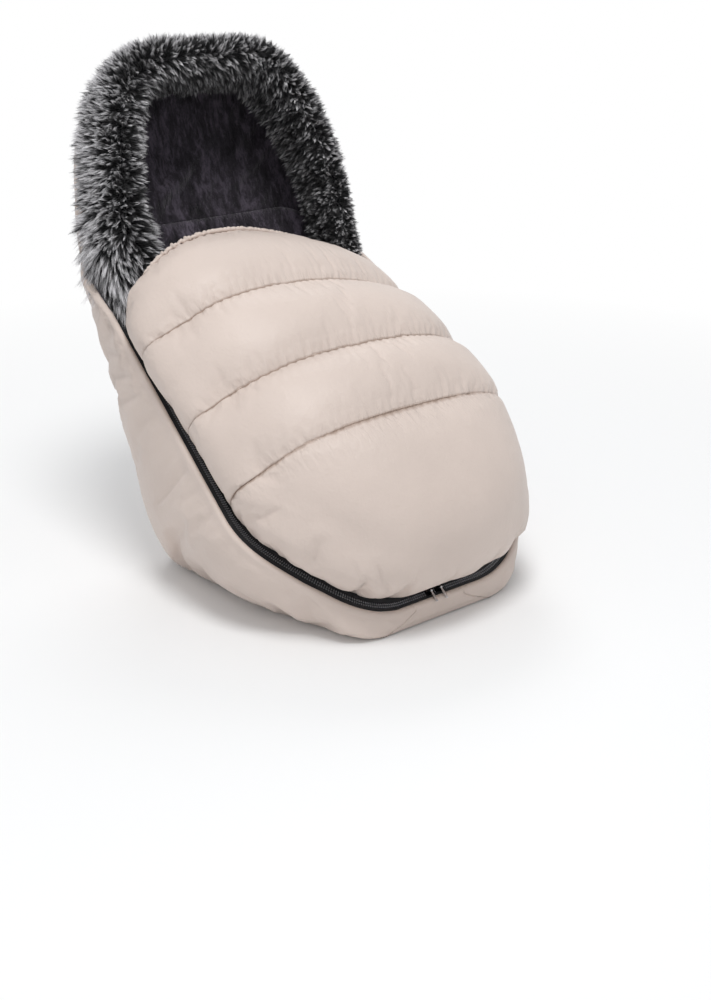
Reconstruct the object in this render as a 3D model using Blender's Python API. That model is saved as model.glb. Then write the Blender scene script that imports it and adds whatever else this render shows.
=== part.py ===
"""Baby bunting bag for a pram seat: a padded tray, a quilted cover zipped round it and a fur-edged hood.

Metres, +Z up. X runs across the bag, the feet point to -Y and the head to +Y. The bag stands on the flat
underside of its seat. The zip lies in one oblique plane, so most of the bag is drawn in that plane's own
directions: s runs up the slope from the feet to the head, n stands square to it, and x runs across.
"""

import math

import bmesh
import bpy
from mathutils import Matrix, Vector

# Cloths and clearances
CLEARANCE = 0.0003
LAYER_GAP = 0.0004
MERGE_DISTANCE = 0.00001
SHELL_THICKNESS = 0.0010
LINING_THICKNESS = 0.0020

# Zip: its plane, its loop round the feet and its tapes
ZIP_SLOPE = math.radians(40)
ZIP_FOOT_Y = -0.1045
ZIP_FOOT_HEIGHT = 0.034
ZIP_HALF_WIDTH = 0.211
ZIP_FOOT_STRAIGHT = 0.065
ZIP_CORNER_DEPTH = 0.160
ZIP_LENGTH = 0.490
TAPE_THICKNESS = 0.0012
TAPE_GAP = 0.0009
TRAY_TAPE_WIDTH = 0.0085
COVER_TAPE_WIDTH = 0.0180
CHAIN_WIDTH = 0.0021
CHAIN_HEIGHT = 0.0011

# Tray: the back, the seat and the side walls
TRAY_RIM_OFFSET = 0.0165
TRAY_WADDING = 0.0067
TRAY_FLAT_SHARE = 0.62
FOOT_TOE_DROP = 0.0150
FOOT_TOE_RADIUS = 0.0170
BACK_SLOPE = math.radians(68)
HIP_RADIUS = 0.045
CREASE_Y = 0.4236
CREASE_HEIGHT = 0.415

# Cover: crest heights at the seams, seam places along the slope and the quilting
COVER_RIM_OFFSET = 0.0135
COVER_SEAM_THICKNESS = 0.0060
SEAM_PLACES = (0.185, 0.290, 0.400)
SEAM_CRESTS = (0.152, 0.141, 0.123)
TOP_EDGE_SIDE = 0.470
TOP_EDGE_CREST = 0.522
TOP_EDGE_CREST_HEIGHT = 0.088
TOP_EDGE_CURVE = 1.5
PANEL_CROWN = 0.013
FOOT_CROWN = 0.006
SIDE_BULGE = 0.012
TOE_SQUARENESS = 1.15
SEAM_SQUARENESS = 0.76
TOP_SQUARENESS = 0.95
FOOT_CREST_SHARES = ((0.02, 0.30), (0.08, 0.60), (0.27, 0.84), (0.59, 0.97))
FOOT_CROWN_POWER = 0.6
PANEL_CROWN_POWER = 0.7
SIDE_FADE_SHARE = 0.6
COLLAR_RADIUS = 0.0038

# Hood: its rear profile from the crease to the fur, as shares of the hood's height and depth
HOOD_WADDING = 0.0060
HOOD_PIVOT_SHARE = 0.58
HOOD_FRONT_WIDTH = 0.184
HOOD_FRONT_FLAT_SHARE = 0.35
HOOD_FRONT_POWER = 2.2
HOOD_DEPTH_SHARE = 0.1694
HOOD_PROFILE_SHARES = ((0.45, 0.29), (0.84, 0.58), (1.00, 0.79), (0.90, 0.94))
HOOD_FOOT_RISE = 0.012

# Fur trim: an arch in a plane that leans back
FUR_LEAN = math.radians(21.9)
FUR_FOOT_Y = 0.291
FUR_FOOT_HEIGHT = 0.347
FUR_START = 0.027
FUR_RISE = 0.307
FUR_HALF_WIDTH = 0.175
FUR_DEPTH = 0.076
FUR_THICKNESS = 0.032
FUR_SKEW = 0.75
FUR_ROUNDING_POWER = 0.6
FUR_BACKING_THICKNESS = 0.0020
FUR_BACKING_WIDTH = 0.020

# Zip sliders at the feet, head to head
SLIDER_LENGTH = 0.0135
SLIDER_WIDTH = 0.0094
SLIDER_TAIL_WIDTH = 0.0072
SLIDER_PLATE = 0.0010
SLIDER_POST_WIDTH = 0.0010
SLIDER_HALF_SPACING = 0.0082
BAIL_RADIUS = 0.0006
BAIL_LENGTH = 0.0080
BAIL_HEIGHT = 0.0030
PULL_LENGTH = 0.0160
PULL_WIDTH = 0.0030
PULL_THICKNESS = 0.0012
PULL_EYE_WALL = 0.0008

# Harness slots through the tray, with their bound edges
SLOT_WIDTH = 0.050
SLOT_HEIGHT = 0.012
SLOT_BINDING = 0.0010
SHOULDER_SLOT_X = 0.062
SHOULDER_SLOT_HEIGHT = 0.330
CROTCH_SLOT_Y = 0.075

# Strap and side-release buckle across the back
STRAP_HEIGHT = 0.245
STRAP_WIDTH = 0.025
STRAP_THICKNESS = 0.0014
STRAP_END_X = 0.128
BUCKLE_HALF_GAP = 0.0200
BUCKLE_WIDTH = 0.0340
BUCKLE_THICKNESS = 0.0072
BUCKLE_WALL = 0.0016
SOCKET_LENGTH_SHARE = 0.62
PRONG_WALL_SHARE = 1.6
BARB_WALL_SHARE = 0.75
BARB_START_SHARE = 0.62
BARB_END_SHARE = 0.9
ADJUSTER_X = 0.074
ADJUSTER_LENGTH = 0.018
ADJUSTER_THICKNESS = 0.0042
ADJUSTER_OVERHANG = 0.0045

# Grip patch low on the back
PATCH_WIDTH = 0.170
PATCH_HEIGHT = 0.075
PATCH_THICKNESS = 0.0010
PATCH_CORNER = 0.012
PATCH_CENTRE_HEIGHT = 0.135

# Facets
TRAY_CORNER_ROW_COUNT = 5
TRAY_COLUMN_COUNT = 8
COVER_COLUMN_COUNT = 8
FLAT_COLUMN_COUNT = 3
PANEL_ROW_COUNT = 4
FOOT_ROW_COUNT = 9
FOOT_SIDE_ROW_COUNT = 2
HOOD_ROW_COUNT = 8
FUR_COLUMN_COUNT = 10
FUR_SIDE_COUNT = 12
PULL_EYE_STEP_COUNT = 12
CUT_OVERRUN = 0.010

UP_SLOPE = Vector((0, math.cos(ZIP_SLOPE), math.sin(ZIP_SLOPE)))
OFF_SLOPE = Vector((0, -math.sin(ZIP_SLOPE), math.cos(ZIP_SLOPE)))
ACROSS = Vector((1, 0, 0))
ZIP_FOOT = Vector((0, ZIP_FOOT_Y, ZIP_FOOT_HEIGHT))
LEAN_UP = Vector((0, math.sin(FUR_LEAN), math.cos(FUR_LEAN)))
LEAN_BACK = Vector((0, math.cos(FUR_LEAN), -math.sin(FUR_LEAN)))
BACK_UP = Vector((0, math.cos(BACK_SLOPE), math.sin(BACK_SLOPE)))
BACK_OUT = Vector((0, math.sin(BACK_SLOPE), -math.cos(BACK_SLOPE)))
CREASE = Vector((0, CREASE_Y, CREASE_HEIGHT))

BEIGE = (0.62, 0.50, 0.42)
PLUSH = (0.045, 0.040, 0.048)
WADDING = (0.80, 0.80, 0.78)
BLACK = (0.012, 0.012, 0.013)
FUR = (0.09, 0.09, 0.095)
STEEL = (0.30, 0.30, 0.31)


def clear_scene():
    for item in list(bpy.data.objects):
        bpy.data.objects.remove(item, do_unlink=True)


def collection(name):
    made = bpy.data.collections.new(name)
    bpy.context.scene.collection.children.link(made)
    return made


def material(name, colour, roughness, metallic=0.0):
    made = bpy.data.materials.new(name)
    made.use_nodes = True
    shader = made.node_tree.nodes["Principled BSDF"]
    shader.inputs["Base Color"].default_value = (*colour, 1)
    shader.inputs["Roughness"].default_value = roughness
    shader.inputs["Metallic"].default_value = metallic
    return made


def finish(item, home, colour, roughness, carrier=None, metallic=0.0):
    """Give an object its material, its collection and the empty that carries it."""
    item.data.materials.append(material(item.name, colour, roughness, metallic))
    for old in list(item.users_collection):
        old.objects.unlink(item)
    home.objects.link(item)
    if carrier:
        item.parent = carrier
        item.matrix_parent_inverse = Matrix.Translation(-carrier.location)
    return item


def axis_empty(name, home, place):
    made = bpy.data.objects.new(name, None)
    made.location = place
    home.objects.link(made)
    return made


# Curves in the zip's plane and in the side view


def on_slope(x, s, n):
    """A point from its place across, up the slope and off the slope."""
    return ZIP_FOOT + ACROSS * x + UP_SLOPE * s + OFF_SLOPE * n


def zip_corner(angle, offset):
    """Half width, slope place and outward direction on the loop's rounded corner, moved outwards."""
    half = ZIP_HALF_WIDTH - ZIP_FOOT_STRAIGHT + offset
    depth = ZIP_CORNER_DEPTH + offset
    x = ZIP_FOOT_STRAIGHT + half * math.sin(angle)
    s = ZIP_CORNER_DEPTH - depth * math.cos(angle)
    out = ACROSS * (math.sin(angle) / half) - UP_SLOPE * (math.cos(angle) / depth)
    return x, s, out.normalized()


def zip_side_stations(rows, start, end, offset):
    places = (blend(start, end, i / rows) for i in range(rows + 1))
    return [(ZIP_HALF_WIDTH + offset, place, ACROSS.copy()) for place in places]


def zip_corner_stations(rows, offset):
    return [zip_corner(math.pi / 2 * i / rows, offset) for i in range(rows + 1)]


def smooth_through(points, share):
    """A point on the Catmull-Rom curve through some points, share 0 to 1 along it."""
    spans = len(points) - 1
    place = min(share * spans, spans - 1e-9)
    k = int(place)
    t = place - k
    before = points[k - 1] if k else points[0] * 2 - points[1]
    after = points[k + 2] if k + 2 <= spans else points[spans] * 2 - points[spans - 1]
    a, b = points[k], points[k + 1]
    return 0.5 * (
        2 * a
        + (b - before) * t
        + (2 * before - 5 * a + 4 * b - after) * t**2
        + (3 * a - before - 3 * b + after) * t**3
    )


def blend(a, b, share):
    return a + (b - a) * share


# Padded sheets: a grid of points, its normals, and a closed layer between two heights on them


def grid_normals(grid):
    """Unit normals by differences along the rows and columns."""
    last_row = len(grid) - 1
    last_column = len(grid[0]) - 1
    normals = []
    for i, row in enumerate(grid):
        line = []
        for j in range(len(row)):
            along = grid[min(i + 1, last_row)][j] - grid[max(i - 1, 0)][j]
            over = row[min(j + 1, last_column)] - row[max(j - 1, 0)]
            line.append(over.cross(along).normalized())
        normals.append(line)
    return normals


def lay_in_plane(normals, cells, square_to):
    """Take one direction out of some normals, so that an edge's layers all end in one plane."""
    for i, j in cells:
        flat = normals[i][j] - square_to * normals[i][j].dot(square_to)
        normals[i][j] = flat.normalized()


def edge_cells(grid, row):
    return [(row, j) for j in range(len(grid[0]))]


def set_side_normals(normals, directions):
    """Give the two ends of each row the zip loop's own outward direction, and its mirror image."""
    for row, out in zip(normals, directions):
        row[-1] = out.copy()
        row[0] = mirror_vector(out)


def set_row_normals(normals, row, direction):
    normals[row] = [direction.copy() for _ in normals[row]]


def add_skin(bm, grid, middle, flip):
    """Two triangles a cell, their diagonals mirrored about the middle column."""
    for i in range(len(grid) - 1):
        for j in range(len(grid[0]) - 1):
            a, b = grid[i][j], grid[i][j + 1]
            c, d = grid[i + 1][j + 1], grid[i + 1][j]
            pair = ((a, b, c), (a, c, d)) if j < middle else ((a, b, d), (b, c, d))
            for corners in pair:
                bm.faces.new(corners[::-1] if flip else corners)


def border(rows, columns):
    """Row and column of each point round a grid's edge, in order."""
    top = [(0, j) for j in range(columns)]
    right = [(i, columns - 1) for i in range(1, rows)]
    bottom = [(rows - 1, j) for j in range(columns - 2, -1, -1)]
    left = [(i, 0) for i in range(rows - 2, 0, -1)]
    return top + right + bottom + left


def mesh_object(name, bm):
    bmesh.ops.recalc_face_normals(bm, faces=bm.faces)
    mesh = bpy.data.meshes.new(name)
    bm.to_mesh(mesh)
    bm.free()
    mesh.shade_smooth()
    mesh.set_sharp_from_angle(angle=math.radians(50))
    made = bpy.data.objects.new(name, mesh)
    bpy.context.scene.collection.objects.link(made)
    return made


def layer(name, sheet, low, high):
    """A closed solid between two heights above a sheet. Each height is a function of row and column."""
    grid, normals, middle = sheet
    bm = bmesh.new()
    skins = []
    for height in (low, high):
        skin = []
        for i, row in enumerate(grid):
            skin.append([bm.verts.new(p + normals[i][j] * height(i, j)) for j, p in enumerate(row)])
        skins.append(skin)
    inner, outer = skins
    add_skin(bm, inner, middle, True)
    add_skin(bm, outer, middle, False)
    edge = border(len(grid), len(grid[0]))
    for here, there in zip(edge, edge[1:] + edge[:1]):
        a, b = inner[here[0]][here[1]], inner[there[0]][there[1]]
        c, d = outer[there[0]][there[1]], outer[here[0]][here[1]]
        pair = ((a, b, c), (a, c, d)) if here < there else ((a, b, d), (b, c, d))
        for corners in pair:
            bm.faces.new(corners)
    return mesh_object(name, bm)


def drawn_in(edge, inner):
    return edge + (inner - edge).normalized() * LAYER_GAP / 2


def panel(grid, normals, rows, columns):
    """Some rows and columns of a grid as a sheet: its points, its normals and the place of its middle column.

    Each edge that isn't the grid's own is drawn in by half a gap.
    """
    points = [list(row[columns[0]:columns[1] + 1]) for row in grid[rows[0]:rows[1] + 1]]
    turned = [row[columns[0]:columns[1] + 1] for row in normals[rows[0]:rows[1] + 1]]
    if rows[0] > 0:
        points[0] = [drawn_in(p, q) for p, q in zip(points[0], points[1])]
    if rows[1] < len(grid) - 1:
        points[-1] = [drawn_in(p, q) for p, q in zip(points[-1], points[-2])]
    for row in points:
        if columns[0] > 0:
            row[0] = drawn_in(row[0], row[1])
        if columns[1] < len(grid[0]) - 1:
            row[-1] = drawn_in(row[-1], row[-2])
    return points, turned, (len(grid[0]) - 1) / 2 - columns[0]


def padded_wall(name, grid, normals, home, depth, crown, carrier=None, shell_panels=(), wadding_panels=()):
    """Outer cloth, wadding and lining inside one another, from the crowned outer face down to a depth.

    The cloth and the wadding are whole, or in panels that meet at seams.
    """
    whole = [("", (0, len(grid) - 1), (0, len(grid[0]) - 1))]
    pieces = []
    for word, rows, columns in shell_panels or whole:
        low = height_below(crown, SHELL_THICKNESS, rows, columns)
        high = height_below(crown, 0, rows, columns)
        shell = layer(f"{name}{word}_shell", panel(grid, normals, rows, columns), low, high)
        pieces.append(finish(shell, home, BEIGE, 0.45, carrier))
    for word, rows, columns in wadding_panels or whole:
        low = fixed(LINING_THICKNESS + LAYER_GAP - depth)
        high = height_below(crown, SHELL_THICKNESS + LAYER_GAP, rows, columns)
        filled = layer(f"{name}{word}_wadding", panel(grid, normals, rows, columns), low, high)
        pieces.append(finish(filled, home, WADDING, 0.9, carrier))
    sheet = panel(grid, normals, *whole[0][1:])
    lining = layer(f"{name}_lining", sheet, fixed(-depth), fixed(LINING_THICKNESS - depth))
    pieces.append(finish(lining, home, PLUSH, 0.95, carrier))
    return pieces


def fixed(height):
    return lambda i, j: height


def height_below(crown, height, rows, columns):
    return lambda i, j: crown(i + rows[0], j + columns[0]) - height


def swept(name, rings):
    """A closed tube through rings of points, capped at both ends."""
    bm = bmesh.new()
    made = [[bm.verts.new(p) for p in ring] for ring in rings]
    count = len(made[0])
    for a, b in zip(made, made[1:]):
        for k in range(count):
            m = (k + 1) % count
            bm.faces.new((a[k], a[m], b[m], b[k]))
    bm.faces.new(made[0][::-1])
    bm.faces.new(made[-1])
    return mesh_object(name, bm)


# Tray


def tray_ends():
    corner = zip_corner_stations(TRAY_CORNER_ROW_COUNT, TRAY_RIM_OFFSET)
    side = zip_side_stations(TRAY_COLUMN_COUNT, ZIP_CORNER_DEPTH, ZIP_LENGTH, TRAY_RIM_OFFSET)
    return corner + side[1:]


def hip_points():
    """Where the floor ends, two points on the hip's bend, and where the straight back starts."""
    reach = HIP_RADIUS * math.tan(BACK_SLOPE / 2)
    corner_y = CREASE_Y - CREASE_HEIGHT / math.tan(BACK_SLOPE)
    centre = Vector((0, corner_y - reach, HIP_RADIUS))
    points = []
    for share in (0, 1 / 3, 2 / 3, 1):
        angle = BACK_SLOPE * share
        points.append(centre + Vector((0, math.sin(angle), -math.cos(angle))) * HIP_RADIUS)
    return points


def tray_profile():
    """The middle line of the tray's outside: toe, floor, hip and back up to the crease."""
    rim = on_slope(0, -TRAY_RIM_OFFSET, -CLEARANCE)
    toe = rim - Vector((0, 0, FOOT_TOE_DROP))
    floor_start = Vector((0, rim.y + FOOT_TOE_RADIUS, 0))
    hip = hip_points()
    floor = [floor_start.lerp(hip[0], share) for share in (1 / 3, 2 / 3)]
    straight_rows = TRAY_CORNER_ROW_COUNT + TRAY_COLUMN_COUNT - 8
    back = [hip[-1].lerp(CREASE, (k + 1) / straight_rows) for k in range(straight_rows)]
    return [rim, toe, floor_start] + floor + hip + back


def boxed_section(flat_share, power, quarter_columns):
    """Half a section from the middle to the rim: width share and depth share."""
    pairs = [(flat_share * k / FLAT_COLUMN_COUNT, 1.0) for k in range(FLAT_COLUMN_COUNT)]
    for k in range(quarter_columns + 1):
        angle = math.pi / 2 * k / quarter_columns
        width = flat_share + (1 - flat_share) * math.sin(angle) ** (2 / power)
        depth = math.cos(angle) ** (2 / power) if k < quarter_columns else 0.0
        pairs.append((width, depth))
    return pairs


def mirrored_row(half):
    """A whole row of points from its middle-to-rim half."""
    left = [Vector((-p.x, p.y, p.z)) for p in half[:0:-1]]
    return left + half


def tray_grid():
    section = boxed_section(TRAY_FLAT_SHARE, 2, TRAY_COLUMN_COUNT - FLAT_COLUMN_COUNT)
    grid = []
    for (half_width, s, _), middle in zip(tray_ends(), tray_profile()):
        end = on_slope(0, s, -CLEARANCE)
        half = [end.lerp(middle, depth) + ACROSS * half_width * width for width, depth in section]
        grid.append(mirrored_row(half))
    return grid


def split_normal():
    """Square to the plane that parts the tray from the hood, from the zip's top end to the crease."""
    top = on_slope(0, ZIP_LENGTH, -CLEARANCE)
    return ACROSS.cross((CREASE - top).normalized()).normalized()


def tray_panels(last_row):
    """The tray is sewn from a base, a back and two side gussets."""
    hip_row = last_row - TRAY_COLUMN_COUNT
    left = TRAY_COLUMN_COUNT - FLAT_COLUMN_COUNT
    right = TRAY_COLUMN_COUNT + FLAT_COLUMN_COUNT
    return [
        ("_base", (0, hip_row), (left, right)),
        ("_back", (hip_row, last_row), (left, right)),
        ("_left", (0, last_row), (0, left)),
        ("_right", (0, last_row), (right, 2 * TRAY_COLUMN_COUNT)),
    ]


def tray(home):
    grid = tray_grid()
    normals = [[-n for n in row] for row in grid_normals(grid)]
    lay_in_plane(normals, edge_cells(grid, len(grid) - 1), split_normal())
    set_side_normals(normals, [out for _, _, out in tray_ends()])
    set_row_normals(normals, 0, -UP_SLOPE)
    depth = SHELL_THICKNESS + TRAY_WADDING + LINING_THICKNESS + 2 * LAYER_GAP
    panels = tray_panels(len(grid) - 1)
    return padded_wall("tray", grid, normals, home, depth, fixed(0), None, panels, panels)


# Cover


def crest_point(s, n):
    return Vector((0, s, n))


def foot_crest(share):
    """The foot pocket's middle line, from the zip over the toes to the first seam."""
    seam, height = SEAM_PLACES[0], SEAM_CRESTS[0]
    inner = [crest_point(seam * a, height * b) for a, b in FOOT_CREST_SHARES]
    points = [crest_point(COVER_RIM_OFFSET, 0)] + inner + [crest_point(seam, height)]
    return smooth_through(points, share)


def flap_crest(share):
    """The flap's middle line, from the first seam to the top edge."""
    points = [crest_point(s, n) for s, n in zip(SEAM_PLACES, SEAM_CRESTS)]
    points.append(crest_point(TOP_EDGE_CREST, TOP_EDGE_CREST_HEIGHT))
    return smooth_through(points, share)


def cover_row(half_width, s_end, crest, squareness, curve, bulge):
    """One arch of the cover from rim to rim, over a crest."""
    row = []
    for k in range(2 * COVER_COLUMN_COUNT + 1):
        angle = math.pi * k / (2 * COVER_COLUMN_COUNT)
        rise = abs(math.sin(angle)) ** squareness if 0 < k < 2 * COVER_COLUMN_COUNT else 0.0
        side = -math.copysign(abs(math.cos(angle)) ** squareness, math.cos(angle))
        side = 0.0 if k == COVER_COLUMN_COUNT else side
        belly = bulge * math.sin(2 * angle) * crest.z / SEAM_CRESTS[0]
        x = half_width * side - belly
        s = blend(s_end, crest.y, rise**curve)
        row.append(on_slope(x, s, CLEARANCE + TAPE_THICKNESS + crest.z * rise))
    return row


def foot_ends():
    stations = zip_corner_stations(FOOT_ROW_COUNT - FOOT_SIDE_ROW_COUNT, -COVER_RIM_OFFSET)
    seam = SEAM_PLACES[0] - LAYER_GAP / 2
    return stations + zip_side_stations(FOOT_SIDE_ROW_COUNT, ZIP_CORNER_DEPTH, seam, -COVER_RIM_OFFSET)[1:]


def foot_grid():
    grid = []
    for i, (half_width, s, _) in enumerate(foot_ends()):
        share = i / FOOT_ROW_COUNT
        crest = foot_crest(share)
        if i == FOOT_ROW_COUNT:
            crest.y = SEAM_PLACES[0] - LAYER_GAP / 2
        squareness = blend(TOE_SQUARENESS, SEAM_SQUARENESS, share**2)
        grid.append(cover_row(half_width, s, crest, squareness, 1.0, SIDE_BULGE * share**2))
    return grid


def flap_grid():
    panels = len(SEAM_PLACES)
    places = (*SEAM_PLACES, TOP_EDGE_SIDE)
    half_width = ZIP_HALF_WIDTH - COVER_RIM_OFFSET
    grid = []
    for i in range(panels * PANEL_ROW_COUNT + 1):
        panel, step = divmod(i, PANEL_ROW_COUNT)
        share = step / PANEL_ROW_COUNT
        s_end = blend(places[panel], places[min(panel + 1, panels)], share)
        crest = flap_crest(i / (panels * PANEL_ROW_COUNT))
        if i == 0:
            s_end = crest.y = SEAM_PLACES[0] + LAYER_GAP / 2
        along = i / (panels * PANEL_ROW_COUNT)
        squareness = blend(SEAM_SQUARENESS, TOP_SQUARENESS, along)
        curve = blend(1.0, TOP_EDGE_CURVE, along)
        grid.append(cover_row(half_width, s_end, crest, squareness, curve, SIDE_BULGE))
    return grid


def side_fade(j):
    """How full the padding is from the rim, where it is stitched flat, to the crest."""
    rise = math.sin(math.pi * j / (2 * COVER_COLUMN_COUNT))
    return min(1.0, max(0.0, rise) / SIDE_FADE_SHARE)


def foot_crown(i, j):
    return FOOT_CROWN * side_fade(j) * max(0.0, math.sin(math.pi * i / FOOT_ROW_COUNT)) ** FOOT_CROWN_POWER


def flap_crown(i, j):
    share = (i % PANEL_ROW_COUNT) / PANEL_ROW_COUNT
    return PANEL_CROWN * side_fade(j) * max(0.0, math.sin(math.pi * share)) ** PANEL_CROWN_POWER


def foot_pocket(home):
    grid = foot_grid()
    normals = grid_normals(grid)
    lay_in_plane(normals, edge_cells(grid, FOOT_ROW_COUNT), UP_SLOPE)
    set_side_normals(normals, [out for _, _, out in foot_ends()])
    set_row_normals(normals, 0, -UP_SLOPE)
    padded_wall("foot", grid, normals, home, COVER_SEAM_THICKNESS, foot_crown)


def cover_flap(home, carrier):
    grid = flap_grid()
    normals = grid_normals(grid)
    lay_in_plane(normals, edge_cells(grid, 0), UP_SLOPE)
    set_side_normals(normals, [ACROSS] * len(grid))
    quilts = []
    for k, word in enumerate(("_lower", "_middle", "_upper")):
        rows = (k * PANEL_ROW_COUNT, (k + 1) * PANEL_ROW_COUNT)
        quilts.append((word, rows, (0, 2 * COVER_COLUMN_COUNT)))
    padded_wall("cover", grid, normals, home, COVER_SEAM_THICKNESS, flap_crown, carrier, (), quilts)
    collar(grid, normals, home, carrier)


def collar(grid, normals, home, carrier):
    """The gathered elastic casing that the cover's top edge ends in."""
    last = len(grid) - 1
    reach = COLLAR_RADIUS + LAYER_GAP
    path = []
    for j in range(1, len(grid[0]) - 1):
        outwards = (grid[last][j] - grid[last - 1][j]).normalized()
        middle = grid[last][j] - normals[last][j] * COVER_SEAM_THICKNESS / 2
        path.append(middle + outwards * reach)
    item = as_mesh(tube("cover_collar", path, COLLAR_RADIUS, 2))
    finish(item, home, BEIGE, 0.5, carrier)


def tube(name, path, radius, resolution):
    data = bpy.data.curves.new(name, "CURVE")
    data.dimensions = "3D"
    data.bevel_depth = radius
    data.bevel_resolution = resolution
    data.use_fill_caps = True
    spline = data.splines.new("POLY")
    spline.points.add(len(path) - 1)
    for point, place in zip(spline.points, path):
        point.co = (*place, 1)
    made = bpy.data.objects.new(name, data)
    bpy.context.scene.collection.objects.link(made)
    return made


# Zip tapes, each with the bead of its coil along the edge


def tape_ring(half_width, s, direction, inner, width, sign):
    """A tape's section: the flat tape and the raised coil beside the zip's middle."""
    heights = ((0, 0), (width, 0), (width, TAPE_THICKNESS), (CHAIN_WIDTH, TAPE_THICKNESS))
    top = TAPE_THICKNESS + CHAIN_HEIGHT
    heights += ((CHAIN_WIDTH, top), (0, top))
    base = on_slope(half_width, s, 0)
    return [base + direction * sign * (inner + a) + OFF_SLOPE * b for a, b in heights]


def loop_stations(corner_rows, side_places):
    """Middle line of the zip on the +X side, with the direction that points outwards."""
    stations = [(0.0, 0.0, -UP_SLOPE)]
    stations += zip_corner_stations(corner_rows, 0)
    stations += [(ZIP_HALF_WIDTH, s, ACROSS.copy()) for s in side_places]
    return stations


def mirror_vector(v):
    return Vector((-v.x, v.y, v.z))


def tape(name, stations, width, sign, home, carrier=None, both_sides=True):
    rings = [tape_ring(x, s, out, TAPE_GAP, width, sign) for x, s, out in stations]
    if both_sides:
        rings = [[mirror_vector(p) for p in ring] for ring in rings[:0:-1]] + rings
    item = swept(name, rings)
    return finish(item, home, BLACK, 0.7, carrier)


def zip_tapes(home, flap_carrier):
    rows = TRAY_COLUMN_COUNT + 2
    sides = [blend(ZIP_CORNER_DEPTH, ZIP_LENGTH, (k + 1) / rows) for k in range(rows)]
    tape("zip_tape_tray", loop_stations(rows, sides), TRAY_TAPE_WIDTH, 1, home)
    seam = SEAM_PLACES[0]
    foot_sides = [seam - LAYER_GAP / 2]
    tape("zip_tape_foot", loop_stations(rows, foot_sides), COVER_TAPE_WIDTH, -1, home)
    start = seam + LAYER_GAP / 2
    flap_sides = [blend(start, TOP_EDGE_SIDE, k / 4) for k in range(5)]
    stations = [(ZIP_HALF_WIDTH, s, ACROSS.copy()) for s in flap_sides]
    tape("zip_tape_cover_right", stations, COVER_TAPE_WIDTH, -1, home, flap_carrier, False)
    stations = [(-x, s, -out) for x, s, out in stations]
    tape("zip_tape_cover_left", stations, COVER_TAPE_WIDTH, -1, home, flap_carrier, False)


# Hood and fur trim


def fur_point(x, rise, back):
    """A point of the arch's leaning frame; its feet are cut aslant to clear the tray's rim."""
    skew = FUR_SKEW * back * (1 - rise) ** 2
    foot = Vector((0, FUR_FOOT_Y, FUR_FOOT_HEIGHT))
    return foot + ACROSS * x + LEAN_UP * (blend(FUR_START, FUR_RISE, rise) + skew) + LEAN_BACK * back


def fur_path(columns):
    """Half the arch from its middle to a foot: place across and rise as a share, in one line."""
    pairs = boxed_section(HOOD_FRONT_FLAT_SHARE, HOOD_FRONT_POWER, columns - FLAT_COLUMN_COUNT)
    return [(FUR_HALF_WIDTH * width, rise) for width, rise in pairs]


def fur_rings(half_depth, half_thickness, centre_back, sides):
    """Rings of a rounded section along the whole arch."""
    half = fur_path(FUR_COLUMN_COUNT)
    line = [(-x, rise) for x, rise in half[:0:-1]] + half
    rings = []
    for k, (x, rise) in enumerate(line):
        here = fur_point(x, rise, 0)
        before = fur_point(*line[max(k - 1, 0)], 0)
        after = fur_point(*line[min(k + 1, len(line) - 1)], 0)
        along = (after - before).normalized()
        radial = LEAN_BACK.cross(along).normalized()
        widest = rounded(math.cos(math.pi / sides))
        ring = []
        for m in range(sides):
            angle = 2 * math.pi * (m + 0.5) / sides
            back = centre_back + half_depth * rounded(math.cos(angle)) / widest
            out = half_thickness * rounded(math.sin(angle)) / widest
            ring.append(here + radial * out + fur_point(0, rise, back) - fur_point(0, rise, 0))
        rings.append(ring)
    return rings


def rounded(value):
    """Flattens a circle towards a box with rounded corners."""
    return math.copysign(abs(value) ** FUR_ROUNDING_POWER, value)


def hood_rear_plane():
    """How far behind the arch's middle plane the hood's front edge lies."""
    return FUR_DEPTH / 2 + FUR_BACKING_THICKNESS + 2 * CLEARANCE


def hood_profile():
    """The middle line of the hood's outside: crease, rear wall, top and front edge."""
    foot = Vector((0, FUR_FOOT_Y, FUR_FOOT_HEIGHT))
    front = foot + LEAN_UP * (FUR_RISE + HOOD_WADDING) + LEAN_BACK * hood_rear_plane()
    start = CREASE + split_normal() * LAYER_GAP
    rise = front.z - start.z
    inner = [
        Vector((0, start.y + HOOD_DEPTH_SHARE * FUR_RISE * depth, start.z + rise * height))
        for depth, height in HOOD_PROFILE_SHARES
    ]
    return [start] + inner + [front]


def hood_pivots():
    """The hood's lower corners: on the tray's upper edge, and above it behind the fur."""
    top = on_slope(0, ZIP_LENGTH, -CLEARANCE)
    first = top.lerp(CREASE, HOOD_PIVOT_SHARE) + split_normal() * LAYER_GAP
    back = hood_rear_plane()
    seam = (top - fur_point(0, 1, back)).dot(split_normal()) / LEAN_UP.dot(split_normal())
    return first, fur_point(0, 1, back) + LEAN_UP * (seam + HOOD_FOOT_RISE)


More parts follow.
